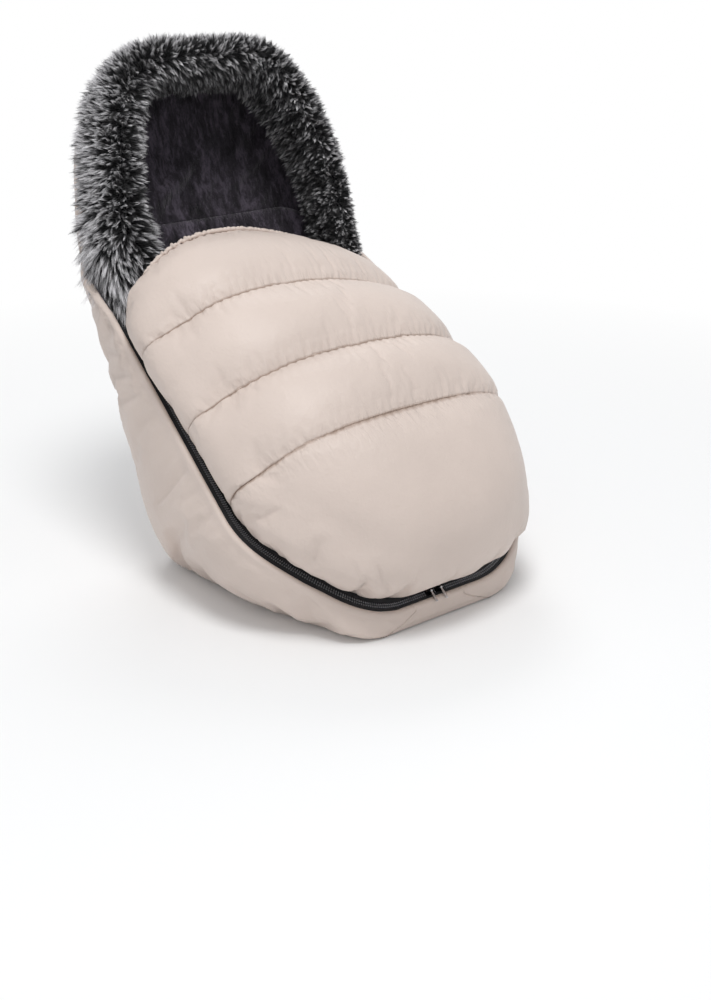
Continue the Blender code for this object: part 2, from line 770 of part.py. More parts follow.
def tray_top_section():
    """Half the tray's upper edge above the hood's corner, as width and depth from that corner."""
    limit = math.acos(HOOD_PIVOT_SHARE)
    half = TRAY_FLAT_SHARE + (1 - TRAY_FLAT_SHARE) * math.sin(limit)
    columns = TRAY_COLUMN_COUNT - FLAT_COLUMN_COUNT
    pairs = [(TRAY_FLAT_SHARE * k / FLAT_COLUMN_COUNT / half, 1.0) for k in range(FLAT_COLUMN_COUNT)]
    for k in range(columns + 1):
        angle = limit * k / columns
        width = (TRAY_FLAT_SHARE + (1 - TRAY_FLAT_SHARE) * math.sin(angle)) / half
        pairs.append((width, (math.cos(angle) - HOOD_PIVOT_SHARE) / (1 - HOOD_PIVOT_SHARE)))
    return half * (ZIP_HALF_WIDTH + TRAY_RIM_OFFSET), pairs


def hood_grid():
    first, last = hood_pivots()
    profile = hood_profile()
    rear_width, rear = tray_top_section()
    front = boxed_section(HOOD_FRONT_FLAT_SHARE, HOOD_FRONT_POWER, TRAY_COLUMN_COUNT - FLAT_COLUMN_COUNT)
    grid = []
    for i in range(HOOD_ROW_COUNT + 1):
        share = i / HOOD_ROW_COUNT
        width = blend(rear_width, HOOD_FRONT_WIDTH, share)
        end = first.lerp(last, share)
        middle = smooth_through(profile, share)
        half = []
        for (a, b), (c, d) in zip(rear, front):
            half.append(end.lerp(middle, blend(b, d, share)) + ACROSS * width * blend(a, c, share))
        grid.append(mirrored_row(half))
    return grid


def hood(home, carrier):
    grid = hood_grid()
    normals = [[-n for n in row] for row in grid_normals(grid)]
    lay_in_plane(normals, edge_cells(grid, 0), split_normal())
    lay_in_plane(normals, edge_cells(grid, HOOD_ROW_COUNT), LEAN_BACK)
    set_side_normals(normals, [ACROSS] * len(grid))
    depth = SHELL_THICKNESS + HOOD_WADDING + LINING_THICKNESS + 2 * LAYER_GAP
    padded_wall("hood", grid, normals, home, depth, fixed(0), carrier)


def fur_trim(home, carrier):
    rings = fur_rings(FUR_DEPTH / 2, FUR_THICKNESS / 2, 0, FUR_SIDE_COUNT)
    finish(swept("fur_trim", rings), home, FUR, 0.9, carrier)
    middle = (FUR_DEPTH + FUR_BACKING_THICKNESS) / 2 + CLEARANCE
    rings = fur_rings(FUR_BACKING_THICKNESS / 2, FUR_BACKING_WIDTH / 2, middle, 4)
    finish(swept("fur_backing", rings), home, BLACK, 0.8, carrier)


# Solids from flat outlines and booleans


def flat_solid(name, outlines, thickness):
    """A 2D curve of one outline and any holes in it, extruded both ways by half its thickness."""
    data = bpy.data.curves.new(name, "CURVE")
    data.dimensions = "2D"
    data.fill_mode = "BOTH"
    data.extrude = thickness / 2
    for outline in outlines:
        spline = data.splines.new("POLY")
        spline.points.add(len(outline) - 1)
        for point, (x, y) in zip(spline.points, outline):
            point.co = (x, y, 0, 1)
        spline.use_cyclic_u = True
    made = bpy.data.objects.new(name, data)
    bpy.context.scene.collection.objects.link(made)
    return made


def as_mesh(item):
    """The evaluated curve as a closed mesh object in the same place."""
    graph = bpy.context.evaluated_depsgraph_get()
    mesh = bpy.data.meshes.new_from_object(item.evaluated_get(graph))
    bm = bmesh.new()
    bm.from_mesh(mesh)
    bmesh.ops.remove_doubles(bm, verts=bm.verts, dist=MERGE_DISTANCE)
    bm.to_mesh(mesh)
    bm.free()
    name = item.name
    made = bpy.data.objects.new(name, mesh)
    made.matrix_world = item.matrix_world
    bpy.context.scene.collection.objects.link(made)
    bpy.data.objects.remove(item, do_unlink=True)
    made.name = name
    return made


def rounded_outline(length, width, radius, steps=4):
    """A rectangle with round corners, centred on its frame."""
    points = []
    corners = ((1, 1, 0), (-1, 1, 1), (-1, -1, 2), (1, -1, 3))
    for sx, sy, quarter in corners:
        for k in range(steps + 1):
            angle = math.pi / 2 * (quarter + k / steps)
            x = sx * (length / 2 - radius) + radius * math.cos(angle)
            y = sy * (width / 2 - radius) + radius * math.sin(angle)
            points.append((x, y))
    return points


def box(name, size, place):
    bpy.ops.mesh.primitive_cube_add(size=1, location=place)
    made = bpy.context.object
    made.name = name
    made.data.name = name
    made.data.transform(Matrix.Diagonal((*size, 1)))
    return made


def boolean(item, other, operation, cutters):
    change = item.modifiers.new(operation.lower(), "BOOLEAN")
    change.operation = operation
    change.object = other
    change.solver = "EXACT"
    for old in list(other.users_collection):
        old.objects.unlink(other)
    cutters.objects.link(other)
    other.hide_render = True
    other.display_type = "WIRE"


# Harness slots


def slot_frames():
    """Name, centre, turn of each slot's cutter and the wall's length along it."""
    back_y = CREASE_Y - (CREASE_HEIGHT - SHOULDER_SLOT_HEIGHT) / math.tan(BACK_SLOPE)
    depth = SHELL_THICKNESS + TRAY_WADDING + LINING_THICKNESS + 2 * LAYER_GAP
    along_y = depth / math.sin(BACK_SLOPE)
    turn = Matrix.Rotation(math.pi / 2, 4, "X")
    frames = []
    for name, x in (("left", -SHOULDER_SLOT_X), ("right", SHOULDER_SLOT_X)):
        centre = Vector((x, back_y - along_y / 2, SHOULDER_SLOT_HEIGHT))
        frames.append((f"shoulder_slot_binding_{name}", Matrix.Translation(centre) @ turn, along_y))
    centre = Vector((0, CROTCH_SLOT_Y, depth / 2))
    frames.append(("crotch_slot_binding", Matrix.Translation(centre), depth))
    return frames


def harness_slots(walls, home, cutters):
    """Cut each slot through the tray's three layers and line it with a bound edge."""
    for name, place, wall in slot_frames():
        wide = SLOT_WIDTH + 2 * (SLOT_BINDING + CLEARANCE)
        high = SLOT_HEIGHT + 2 * (SLOT_BINDING + CLEARANCE)
        cutter = flat_solid(name + "_cut", [rounded_outline(wide, high, high / 2)], wall + 2 * CUT_OVERRUN)
        cutter.matrix_world = place
        cutter = as_mesh(cutter)
        for piece in walls:
            boolean(piece, cutter, "DIFFERENCE", cutters)
        outer = rounded_outline(SLOT_WIDTH + 2 * SLOT_BINDING, SLOT_HEIGHT + 2 * SLOT_BINDING,
                                SLOT_HEIGHT / 2 + SLOT_BINDING)
        inner = rounded_outline(SLOT_WIDTH, SLOT_HEIGHT, SLOT_HEIGHT / 2)
        item = flat_solid(name, [outer, inner], wall)
        item.matrix_world = place
        item = as_mesh(item)
        finish(item, home, BLACK, 0.7)


# Strap, buckle and grip patch on the back


def back_frame(x, height, off):
    """A frame on the back: X to the wearer's left, Y up the back, Z outwards."""
    foot = CREASE_Y - (CREASE_HEIGHT - height) / math.tan(BACK_SLOPE)
    centre = Vector((x, foot, height)) + BACK_OUT * off
    turn = Matrix((-ACROSS, BACK_UP, BACK_OUT)).transposed().to_4x4()
    return Matrix.Translation(centre) @ turn


def back_strap(home, cutters, carrier):
    inner_end = BUCKLE_HALF_GAP + CLEARANCE
    length = STRAP_END_X - inner_end
    for name, side in (("strap_left", -1), ("strap_right", 1)):
        middle = side * (inner_end + STRAP_END_X) / 2
        item = flat_solid(name, [rounded_outline(length, STRAP_WIDTH, STRAP_THICKNESS, 1)], STRAP_THICKNESS)
        item.matrix_world = back_frame(middle, STRAP_HEIGHT, CLEARANCE + STRAP_THICKNESS / 2)
        finish(as_mesh(item), home, BLACK, 0.75)
    adjuster(home, cutters, carrier)
    buckle(home, cutters)


def adjuster(home, cutters, carrier):
    """A ladder-lock frame round the strap, open behind a cross bar."""
    high = STRAP_WIDTH + 2 * ADJUSTER_OVERHANG
    frame = flat_solid("strap_adjuster", [rounded_outline(ADJUSTER_LENGTH, high, ADJUSTER_OVERHANG / 2)],
                       ADJUSTER_THICKNESS)
    off = CLEARANCE + ADJUSTER_THICKNESS / 2
    frame.matrix_world = back_frame(ADJUSTER_X, STRAP_HEIGHT, off)
    frame = as_mesh(frame)
    channel = (ADJUSTER_LENGTH + 2 * CUT_OVERRUN, STRAP_WIDTH + 2 * CLEARANCE,
               STRAP_THICKNESS + CLEARANCE + CUT_OVERRUN)
    cutter = box("adjuster_channel", channel, (0, 0, 0))
    low = STRAP_THICKNESS + 2 * CLEARANCE - channel[2] / 2
    cutter.matrix_world = back_frame(ADJUSTER_X, STRAP_HEIGHT, low)
    boolean(frame, cutter, "DIFFERENCE", cutters)
    window_width = ADJUSTER_LENGTH / 4
    for side in (-1, 1):
        name = "adjuster_window"
        cutter = box(name, (window_width, STRAP_WIDTH, ADJUSTER_THICKNESS + 2 * CUT_OVERRUN), (0, 0, 0))
        cutter.matrix_world = back_frame(ADJUSTER_X + side * window_width, STRAP_HEIGHT, off)
        boolean(frame, cutter, "DIFFERENCE", cutters)
    finish(frame, home, BLACK, 0.4, carrier)


def buckle(home, cutters):
    """A side-release buckle: a flat socket with side windows and the two-pronged plug in it."""
    off = CLEARANCE + BUCKLE_THICKNESS / 2
    half = BUCKLE_HALF_GAP
    socket_length = half * 2 * SOCKET_LENGTH_SHARE
    plug_root = half * 2 - socket_length - CLEARANCE
    socket_x = half - socket_length / 2
    cavity = BUCKLE_THICKNESS - 2 * BUCKLE_WALL
    socket = flat_solid("buckle_socket", [rounded_outline(socket_length, BUCKLE_WIDTH, BUCKLE_WALL * 2)],
                        BUCKLE_THICKNESS)
    socket.matrix_world = back_frame(-socket_x, STRAP_HEIGHT, off)
    socket = as_mesh(socket)
    depth = socket_length - BUCKLE_WALL
    inner = (depth + CUT_OVERRUN, BUCKLE_WIDTH - 4 * BUCKLE_WALL, cavity)
    cutter = box("socket_mouth", inner, (0, 0, 0))
    mouth_x = -(half - socket_length) + (depth - CUT_OVERRUN) / 2 * -1
    cutter.matrix_world = back_frame(mouth_x, STRAP_HEIGHT, off)
    boolean(socket, cutter, "DIFFERENCE", cutters)
    window = (socket_length / 3, BUCKLE_WIDTH + 2 * CUT_OVERRUN, cavity)
    cutter = box("socket_windows", window, (0, 0, 0))
    cutter.matrix_world = back_frame(-socket_x, STRAP_HEIGHT, off)
    boolean(socket, cutter, "DIFFERENCE", cutters)
    finish(socket, home, BLACK, 0.35)
    plug_body(home, off, plug_root, depth, cavity)


def plug_body(home, off, root, depth, cavity):
    """The plug in one outline: its root bar outside the socket and two prongs with barbed tips."""
    half_width = BUCKLE_WIDTH / 2 - 2 * BUCKLE_WALL - CLEARANCE
    prong = BUCKLE_WALL * PRONG_WALL_SHARE
    reach = depth - 4 * CLEARANCE
    barb = BUCKLE_WALL * BARB_WALL_SHARE
    shoulder = reach * BARB_START_SHARE
    inner = half_width - prong
    upper = [(0, half_width), (shoulder, half_width), (shoulder, half_width + barb),
             (reach, inner), (reach * BARB_END_SHARE, inner), (BUCKLE_WALL, inner)]
    lower = [(x, -y) for x, y in upper[::-1]]
    root_edge = [(0, -BUCKLE_WIDTH / 2), (-root, -BUCKLE_WIDTH / 2), (-root, BUCKLE_WIDTH / 2),
                 (0, BUCKLE_WIDTH / 2)]
    item = flat_solid("buckle_plug", [upper + lower + root_edge], cavity - 2 * CLEARANCE)
    item.matrix_world = back_frame(BUCKLE_HALF_GAP - root, STRAP_HEIGHT, off)
    finish(as_mesh(item), home, BLACK, 0.35)


def grip_patch(home):
    outline = rounded_outline(PATCH_WIDTH, PATCH_HEIGHT, PATCH_CORNER)
    item = flat_solid("back_grip_patch", [outline], PATCH_THICKNESS)
    item.matrix_world = back_frame(0, PATCH_CENTRE_HEIGHT, CLEARANCE + PATCH_THICKNESS / 2)
    finish(as_mesh(item), home, BLACK, 0.8)


# Zip sliders and pulls


def zip_frame(x, n):
    """A frame on the straight of the zip at the feet: X along it, Y up the slope, Z off it."""
    turn = Matrix((ACROSS, UP_SLOPE, OFF_SLOPE)).transposed().to_4x4()
    return Matrix.Translation(on_slope(x, 0, n)) @ turn


def slider_outline(side):
    """Shoulders towards the closed end and a narrower tail, as seen from above."""
    a, b = SLIDER_LENGTH / 2, SLIDER_LENGTH * 0.12
    wide, slim = SLIDER_WIDTH / 2, SLIDER_TAIL_WIDTH / 2
    points = [(-a, slim), (-a * 0.9, slim), (b, wide), (a * 0.75, wide), (a, wide * 0.7)]
    points += [(x, -y) for x, y in points[::-1]]
    return [(x * side, y) for x, y in points]


def zip_slider(name, side, home, cutters, carrier):
    """Two plates joined by a post between the chains, with side lips and a bail on top."""
    chain_top = TAPE_THICKNESS + CHAIN_HEIGHT + CLEARANCE
    x = side * SLIDER_HALF_SPACING
    top = flat_solid(name, [slider_outline(side)], SLIDER_PLATE)
    top.matrix_world = zip_frame(x, chain_top + SLIDER_PLATE / 2)
    top = as_mesh(top)
    pieces = []
    under = flat_solid(name + "_under", [slider_outline(side)], SLIDER_PLATE)
    under.matrix_world = zip_frame(x, -CLEARANCE - SLIDER_PLATE / 2)
    pieces.append(as_mesh(under))
    post_height = chain_top + CLEARANCE + SLIDER_PLATE
    post = box(name + "_post", (SLIDER_LENGTH * 0.25, SLIDER_POST_WIDTH, post_height), (0, 0, 0))
    post.matrix_world = zip_frame(x - side * SLIDER_LENGTH * 0.3, (chain_top - CLEARANCE) / 2)
    pieces.append(post)
    lip_low = TAPE_THICKNESS + CLEARANCE
    lip_height = chain_top + SLIDER_PLATE / 2 - lip_low
    lip_width = SLIDER_TAIL_WIDTH / 2 - TAPE_GAP - CHAIN_WIDTH - CLEARANCE
    for edge in (-1, 1):
        lip = box(name + "_lip", (SLIDER_LENGTH * 0.8, lip_width, lip_height), (0, 0, 0))
        shift = Matrix.Translation((0, edge * (SLIDER_TAIL_WIDTH - lip_width) / 2, 0))
        lip.matrix_world = zip_frame(x, lip_low + lip_height / 2) @ shift
        pieces.append(lip)
    bail = as_mesh(bail_tube(name + "_bail", x, chain_top + SLIDER_PLATE / 2))
    pieces.append(bail)
    for piece in pieces:
        boolean(top, piece, "UNION", cutters)
    finish(top, home, STEEL, 0.35, carrier, 1.0)


def bail_tube(name, x, foot):
    half = BAIL_LENGTH / 2
    rise = BAIL_HEIGHT + SLIDER_PLATE / 2
    shares = ((-1.0, 0.0), (-0.9, 0.65), (-0.55, 1.0), (0.55, 1.0), (0.9, 0.65), (1.0, 0.0))
    path = [on_slope(x + half * a, 0, foot + rise * b) for a, b in shares]
    return tube(name, path, BAIL_RADIUS, 1)


def pull_axis(side):
    """The middle of the bail's straight bar, round which the pull's eye turns."""
    plate_top = TAPE_THICKNESS + CHAIN_HEIGHT + CLEARANCE + SLIDER_PLATE
    return on_slope(side * SLIDER_HALF_SPACING, 0, plate_top + BAIL_HEIGHT)


def zip_pull(name, side, home, carrier):
    """A slim metal tab with an eye round the bail, lying out over the tray's edge."""
    hole = BAIL_RADIUS + CLEARANCE
    tab = flat_solid(name, [pull_outline(hole + PULL_EYE_WALL), circle_outline(hole)], PULL_WIDTH)
    turn = Matrix((-UP_SLOPE, OFF_SLOPE, -ACROSS)).transposed().to_4x4()
    tab.matrix_world = Matrix.Translation(pull_axis(side)) @ turn
    finish(as_mesh(tab), home, STEEL, 0.35, carrier, 1.0)


def circle_outline(radius, steps=12):
    turns = (2 * math.pi * k / steps for k in range(steps))
    return [(radius * math.cos(turn), radius * math.sin(turn)) for turn in turns]


def pull_outline(eye):
    """Side view of the pull: most of a circle round the eye, then the tab out to its round tip."""
    half = PULL_THICKNESS / 2
    start = math.asin(half / eye)
    points = []
    for k in range(PULL_EYE_STEP_COUNT + 1):
        angle = blend(start, 2 * math.pi - start, k / PULL_EYE_STEP_COUNT)
        points.append((eye * math.cos(angle), eye * math.sin(angle)))
    tip = PULL_LENGTH - half
    for k in range(5):
        angle = math.pi * (k / 4 - 1 / 2)
        points.append((tip + half * math.cos(angle), half * math.sin(angle)))
    return points


def stand_on_origin(home):
    """Move the whole bag so that the middle of its box's underside is the origin."""
    bpy.context.view_layer.update()
    graph = bpy.context.evaluated_depsgraph_get()
    places = []
    for item in home.all_objects:
        if item.type not in {"MESH", "CURVE"}:
            continue
        seen = item.evaluated_get(graph)
        mesh = seen.to_mesh()
        places += [item.matrix_world @ v.co for v in mesh.vertices]
        seen.to_mesh_clear()
    low = Vector((min(p[k] for p in places) for k in range(3)))
    high = Vector((max(p[k] for p in places) for k in range(3)))
    shift = Vector((-(low.x + high.x) / 2, -(low.y + high.y) / 2, -low.z))
    for item in bpy.context.scene.objects:
        if not item.parent:
            item.location += shift
    bpy.context.view_layer.update()


def main():
    clear_scene()
    home = collection("baby_bunting_bag")
    cutters = collection("cutters")
    flap_axis = axis_empty("cover_fold_axis", home, on_slope(0, SEAM_PLACES[0], cover_top(SEAM_CRESTS[0])))
    hood_axis = axis_empty("hood_fold_axis", home, CREASE + split_normal() * LAYER_GAP)
    walls = tray(home)
    slotted = [piece for piece in walls if not piece.name.startswith(("tray_left", "tray_right"))]
    harness_slots(slotted, home, cutters)
    foot_pocket(home)
    cover_flap(home, flap_axis)
    zip_tapes(home, flap_axis)
    hood(home, hood_axis)
    fur_trim(home, hood_axis)
    adjuster_run = axis_empty("strap_adjuster_run", home, back_frame(ADJUSTER_X, STRAP_HEIGHT, 0).translation)
    back_strap(home, cutters, adjuster_run)
    grip_patch(home)
    for word, side in (("left", -1), ("right", 1)):
        run = axis_empty(f"zip_slider_{word}_run", home, on_slope(side * SLIDER_HALF_SPACING, 0, 0))
        zip_slider(f"zip_slider_{word}", side, home, cutters, run)
        swing = axis_empty(f"zip_pull_{word}_axis", home, pull_axis(side))
        zip_pull(f"zip_pull_{word}", side, home, swing)
        swing.parent = run
        swing.matrix_parent_inverse = Matrix.Translation(-run.location)
    stand_on_origin(home)


def cover_top(crest):
    return CLEARANCE + TAPE_THICKNESS + crest


main()
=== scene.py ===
"""A baby bunting bag dressed in quilted nylon, plush, faux fur and zips round its fixed frame."""

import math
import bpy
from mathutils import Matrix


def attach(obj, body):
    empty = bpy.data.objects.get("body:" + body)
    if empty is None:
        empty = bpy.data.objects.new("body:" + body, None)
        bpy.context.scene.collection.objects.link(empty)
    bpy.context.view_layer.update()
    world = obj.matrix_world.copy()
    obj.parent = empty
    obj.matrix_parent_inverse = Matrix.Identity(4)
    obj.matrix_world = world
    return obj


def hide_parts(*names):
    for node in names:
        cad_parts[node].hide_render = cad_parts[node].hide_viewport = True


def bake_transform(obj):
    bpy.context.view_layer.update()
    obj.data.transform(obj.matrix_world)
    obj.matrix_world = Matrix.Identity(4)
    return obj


bl_info = {
    "name": "Baby Bunting Bag",
    "version": (1, 0, 0),
    "blender": (4, 5, 0),
    "location": "View3D > Sidebar > Bunting Bag",
    "description": "Builds a quilted pram footmuff with a fur-edged hood over its packed frame",
    "category": "Object",
}

import bmesh
import bpy
import numpy as np
from mathutils import Matrix, Vector

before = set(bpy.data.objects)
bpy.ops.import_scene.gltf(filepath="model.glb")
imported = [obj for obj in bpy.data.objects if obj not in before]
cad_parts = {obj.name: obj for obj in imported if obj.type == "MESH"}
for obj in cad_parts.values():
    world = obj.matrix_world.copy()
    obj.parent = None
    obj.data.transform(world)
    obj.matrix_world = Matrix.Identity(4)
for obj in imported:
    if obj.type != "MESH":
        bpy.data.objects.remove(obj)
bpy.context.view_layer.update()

# Places shared with the frame, in metres. s runs up the zip's slope and n stands square to it.
SLOPE = math.radians(40)
ZIP_FOOT = np.array([0.0, -0.26224, 0.034])
ZIP_HALF_WIDTH = 0.211
ZIP_STRAIGHT = 0.065
ZIP_CORNER = 0.160
ZIP_LENGTH = 0.490
TRAY_EDGE = 0.0165
RIM_DROP = -0.0003
TRAY_TAPE = 0.0085
COVER_TAPE = 0.0180
BACK_SLOPE = math.radians(68)
HIP_RADIUS = 0.045
TRAY_DEPTH = 0.0105
LINING = 0.0020
CREASE = np.array([0.0, 0.26586, 0.415])
TRAY_FLAT = 0.62
COVER_EDGE = 0.0135
SEAMS = (0.185, 0.290, 0.400)
SEAM_HALF_GAP = 0.0002
SEAM_CRESTS = (0.152, 0.141, 0.123)
TOP_SIDE = 0.470
TOP_CREST = (0.522, 0.088)
FOOT_CREST = ((0.02, 0.30), (0.08, 0.60), (0.27, 0.84), (0.59, 0.97))
HOOD_PIVOT = 0.58
HOOD_FRONT_WIDTH = 0.184
HOOD_DEPTH = 0.052
HOOD_PROFILE = ((0.45, 0.29), (0.84, 0.58), (1.00, 0.79), (0.90, 0.94))
FUR_LEAN = math.radians(21.9)
FUR_FOOT = np.array([0.0, 0.13326, 0.347])
FUR_START = 0.027
FUR_RISE = 0.307
FUR_HALF_WIDTH = 0.175
FUR_DEPTH = 0.076
FUR_THICKNESS = 0.032
FUR_SKEW = 0.75
FUR_FLAT = 0.35
FUR_POWER = 2.2
SLOTS = ((-0.062, 0.330), (0.062, 0.330))
CROTCH_SLOT_Y = -0.08274
STRAP_INNER = 0.0203
STRAP_OUTER = 0.128
STRAP_WIDTH = 0.025
STRAP_HEIGHT = 0.245

# How far the soft parts settle: the cover leans more from seam to seam up to its top edge,
# and the corners of the foot end and one shoulder are drawn in
LEAN_SHARES = (0, 0.12, 0.60, 1)
LEAN_FORWARD = (0, 0.002, 0.011, 0.006)
LEAN_ACROSS = -0.036
LEAN_TILT = 0.022
LEAN_SAG = 0.010
LEAN_SHOULDER = 0.014
CORNER_DRAW = 0.0245
SIDE_DRAW = 0.008
SHOULDER_DRAW = 0.010
# How far the sides hang over the zip: places up the slope in metres, and overhangs in millimetres
OVERHANG_LEFT = ((0, 0.020, 0.18, 0.30, 0.38, 0.44, 0.475), (13, 20, 20, 25, 32, 27, 14))
OVERHANG_RIGHT = ((0, 0.020, 0.12, 0.30, 0.44, 0.475), (13, 14, 4, 12, 12, 6))
OVERHANG_HEIGHT = 0.095
OVERHANG_FADE = 0.055

# Cloth, thread and hair
SWELL_FRAMES = 14
SWELL_LIMIT = 0.022
SEAM_SINK = 0.0042
STITCH_PITCH = 0.0032
THREAD_RADII = (0.00042, 0.00036)
LAYER_GAP = 0.0002
COVER_DEPTH = 0.006
HOOD_WALL = 0.0098
HEM_LENGTH = 0.55
HEM_STEPS = 460
HEM_INSET = 7
HEM_OFFSET = 0.0022
GUARD_SHARE = 0.60
LOCK_HAIRS = 10

ACROSS = np.array([1.0, 0.0, 0.0])
UP_SLOPE = np.array([0.0, math.cos(SLOPE), math.sin(SLOPE)])
OFF_SLOPE = np.array([0.0, -math.sin(SLOPE), math.cos(SLOPE)])
LEAN_UP = np.array([0.0, math.sin(FUR_LEAN), math.cos(FUR_LEAN)])
LEAN_BACK = np.array([0.0, math.cos(FUR_LEAN), -math.sin(FUR_LEAN)])
BACK_UP = np.array([0.0, math.cos(BACK_SLOPE), math.sin(BACK_SLOPE)])
BACK_OUT = np.array([0.0, math.sin(BACK_SLOPE), -math.cos(BACK_SLOPE)])


class BuntingSizes(bpy.types.PropertyGroup):
    hair_length: bpy.props.FloatProperty(
        name="Hair length", description="Length of the fur's guard hair",
        default=0.021, min=0.005, max=0.05, subtype="DISTANCE", unit="LENGTH")
    hair_count: bpy.props.IntProperty(
        name="Hairs", description="Hairs in each of the fur's six lengths",
        default=37000, min=1000, max=38000)
    tooth_pitch: bpy.props.FloatProperty(
        name="Tooth pitch", description="Spacing of the zip's coils along one tape",
        default=0.0032, min=0.001, max=0.01, subtype="DISTANCE", unit="LENGTH")


class BuntingColours(bpy.types.PropertyGroup):
    nylon: bpy.props.StringProperty(
        name="Nylon", description="Outer cloth, as an sRGB hex value", default="#CFC0B7")
    plush: bpy.props.StringProperty(
        name="Plush", description="Lining pile, as an sRGB hex value", default="#2B272D")
    fur_root: bpy.props.StringProperty(
        name="Fur root", description="Hair near the skin, as an sRGB hex value", default="#08080A")
    fur_tip: bpy.props.StringProperty(
        name="Fur tip", description="Hair tips, as an sRGB hex value", default="#E4E2E4")
    black: bpy.props.StringProperty(
        name="Black trim", description="Tapes and webbing, as an sRGB hex value", default="#17171A")


# Curves and surfaces


def mix(a, b, share):
    return a + (b - a) * share


def unit(ways):
    return ways / np.maximum(np.linalg.norm(ways, axis=-1, keepdims=True), 1e-12)


def bell(value, middle, width):
    """1 at the middle, falling smoothly to almost 0 at twice the width."""
    return np.exp(-(((value - middle) / width) ** 2))


def faded(value, length):
    """1 at 0, falling in a straight line to 0 at a length."""
    return np.clip(1 - value / length, 0, 1)


def on_slope(x, s, n):
    x, s, n = np.broadcast_arrays(x, s, n)
    return ZIP_FOOT + x[..., None] * ACROSS + s[..., None] * UP_SLOPE + n[..., None] * OFF_SLOPE


def smooth_through(points, share):
    """Points on the Catmull-Rom curve through a few, for shares from 0 to 1."""
    points = np.asarray(points, float)
    spans = len(points) - 1
    padded = np.vstack([2 * points[0] - points[1], points, 2 * points[-1] - points[-2]])
    place = np.clip(np.asarray(share, float) * spans, 0, spans - 1e-9)
    k = place.astype(int)
    t = (place - k)[..., None]
    p0, p1, p2, p3 = (padded[k + i] for i in range(4))
    return 0.5 * (2 * p1 + (p2 - p0) * t + (2 * p0 - 5 * p1 + 4 * p2 - p3) * t**2
                  + (3 * p1 - p0 - 3 * p2 + p3) * t**3)


def evened(line, count):
    """A line's points spaced evenly along its length."""
    steps = np.linalg.norm(np.diff(line, axis=0), axis=1)
    length = np.concatenate([[0], np.cumsum(steps)])
    at = np.linspace(0, length[-1], count + 1)
    return np.stack([np.interp(at, length, line[:, k]) for k in range(3)], -1)


def evened_grid(rows, columns):
    return np.array([evened(row, columns) for row in rows])


def surface_normals(grid):
    """Unit normals of a curved grid of points, on the side that looks away from its middle."""
    normals = unit(np.cross(np.gradient(grid, axis=1), np.gradient(grid, axis=0)))
    outward = np.einsum("ijk,ijk->ij", normals, grid - grid.mean(axis=(0, 1)))
    return normals * (1 if outward.mean() > 0 else -1)


def quilted_shares(count, panels):
    """Row places from 0 to 1, closer together beside each seam."""
    even = np.linspace(0, 1, count + 1)[1:]
    close = mix(even, 0.5 - 0.5 * np.cos(math.pi * even), 0.65)
    return np.concatenate([[0.0], *(close + k for k in range(panels))]) / panels


def row_grid(make_rows, shares, columns, fine_rows=240):
    """A surface's points at uneven shares of its length."""
    fine = evened_grid(make_rows(fine_rows), columns)
    place = shares * fine_rows
    k = np.minimum(place.astype(int), fine_rows - 1)
    return mix(fine[k], fine[k + 1], (place - k)[:, None, None])


def ripples(place, wavelength, seed, count=6):
    """A smooth random height from -1 to 1 or so, whose waves are about one length."""
    random = np.random.default_rng(seed)
    total = 0
    for _ in range(count):
        way = random.normal(size=place.shape[-1])
        way *= 2 * math.pi / (np.linalg.norm(way) * wavelength * random.uniform(0.65, 1.5))
        total = total + np.sin(place @ way + random.uniform(0, 2 * math.pi))
    return total / math.sqrt(count)


def foot_rows(rows):
    """The foot pocket's seam-level surface, from the zip round the toes to the lowest seam."""
    seam = SEAMS[0] - SEAM_HALF_GAP
    crest_line = [(COVER_EDGE, 0)] + [(SEAMS[0] * a, SEAM_CRESTS[0] * b) for a, b in FOOT_CREST]
    crest_line.append((seam, SEAM_CRESTS[0]))
    made = []
    for share in np.linspace(0, 1, rows + 1):
        # Seven ninths of the rows run round the zip's corners, and the rest up its straight sides
        turn = min(share * 9 / 7, 1) * math.pi / 2
        half = ZIP_STRAIGHT + (ZIP_HALF_WIDTH - ZIP_STRAIGHT - COVER_EDGE) * math.sin(turn)
        end = ZIP_CORNER - (ZIP_CORNER - COVER_EDGE) * math.cos(turn)
        end += max(0.0, share * 9 - 7) / 2 * (seam - ZIP_CORNER)
        crest = smooth_through(crest_line, share)
        power = mix(1.15, 0.76, share**2)
        made.append(cover_arch(half, end, crest, power, 1.0, 0.012 * share**2, 0, 0))
    return made


def flap_rows(rows):
    """The flap's seam-level surface, from the lowest quilting seam to its top edge."""
    seam = SEAMS[0] + SEAM_HALF_GAP
    crest_line = [(seam, SEAM_CRESTS[0]), *list(zip(SEAMS, SEAM_CRESTS))[1:], TOP_CREST]
    ends = (seam, *SEAMS[1:], TOP_SIDE)
    made = []
    for share in np.linspace(0, 1, rows + 1):
        end, lean, along = (np.interp(share * 3, range(4), at_seams)
                            for at_seams in (ends, LEAN_SHARES, LEAN_FORWARD))
        crest = smooth_through(crest_line, share)
        made.append(cover_arch(ZIP_HALF_WIDTH - COVER_EDGE, end, crest, mix(0.76, 0.95, share),
                               mix(1.0, 1.5, share), 0.012, lean, along))
    return made


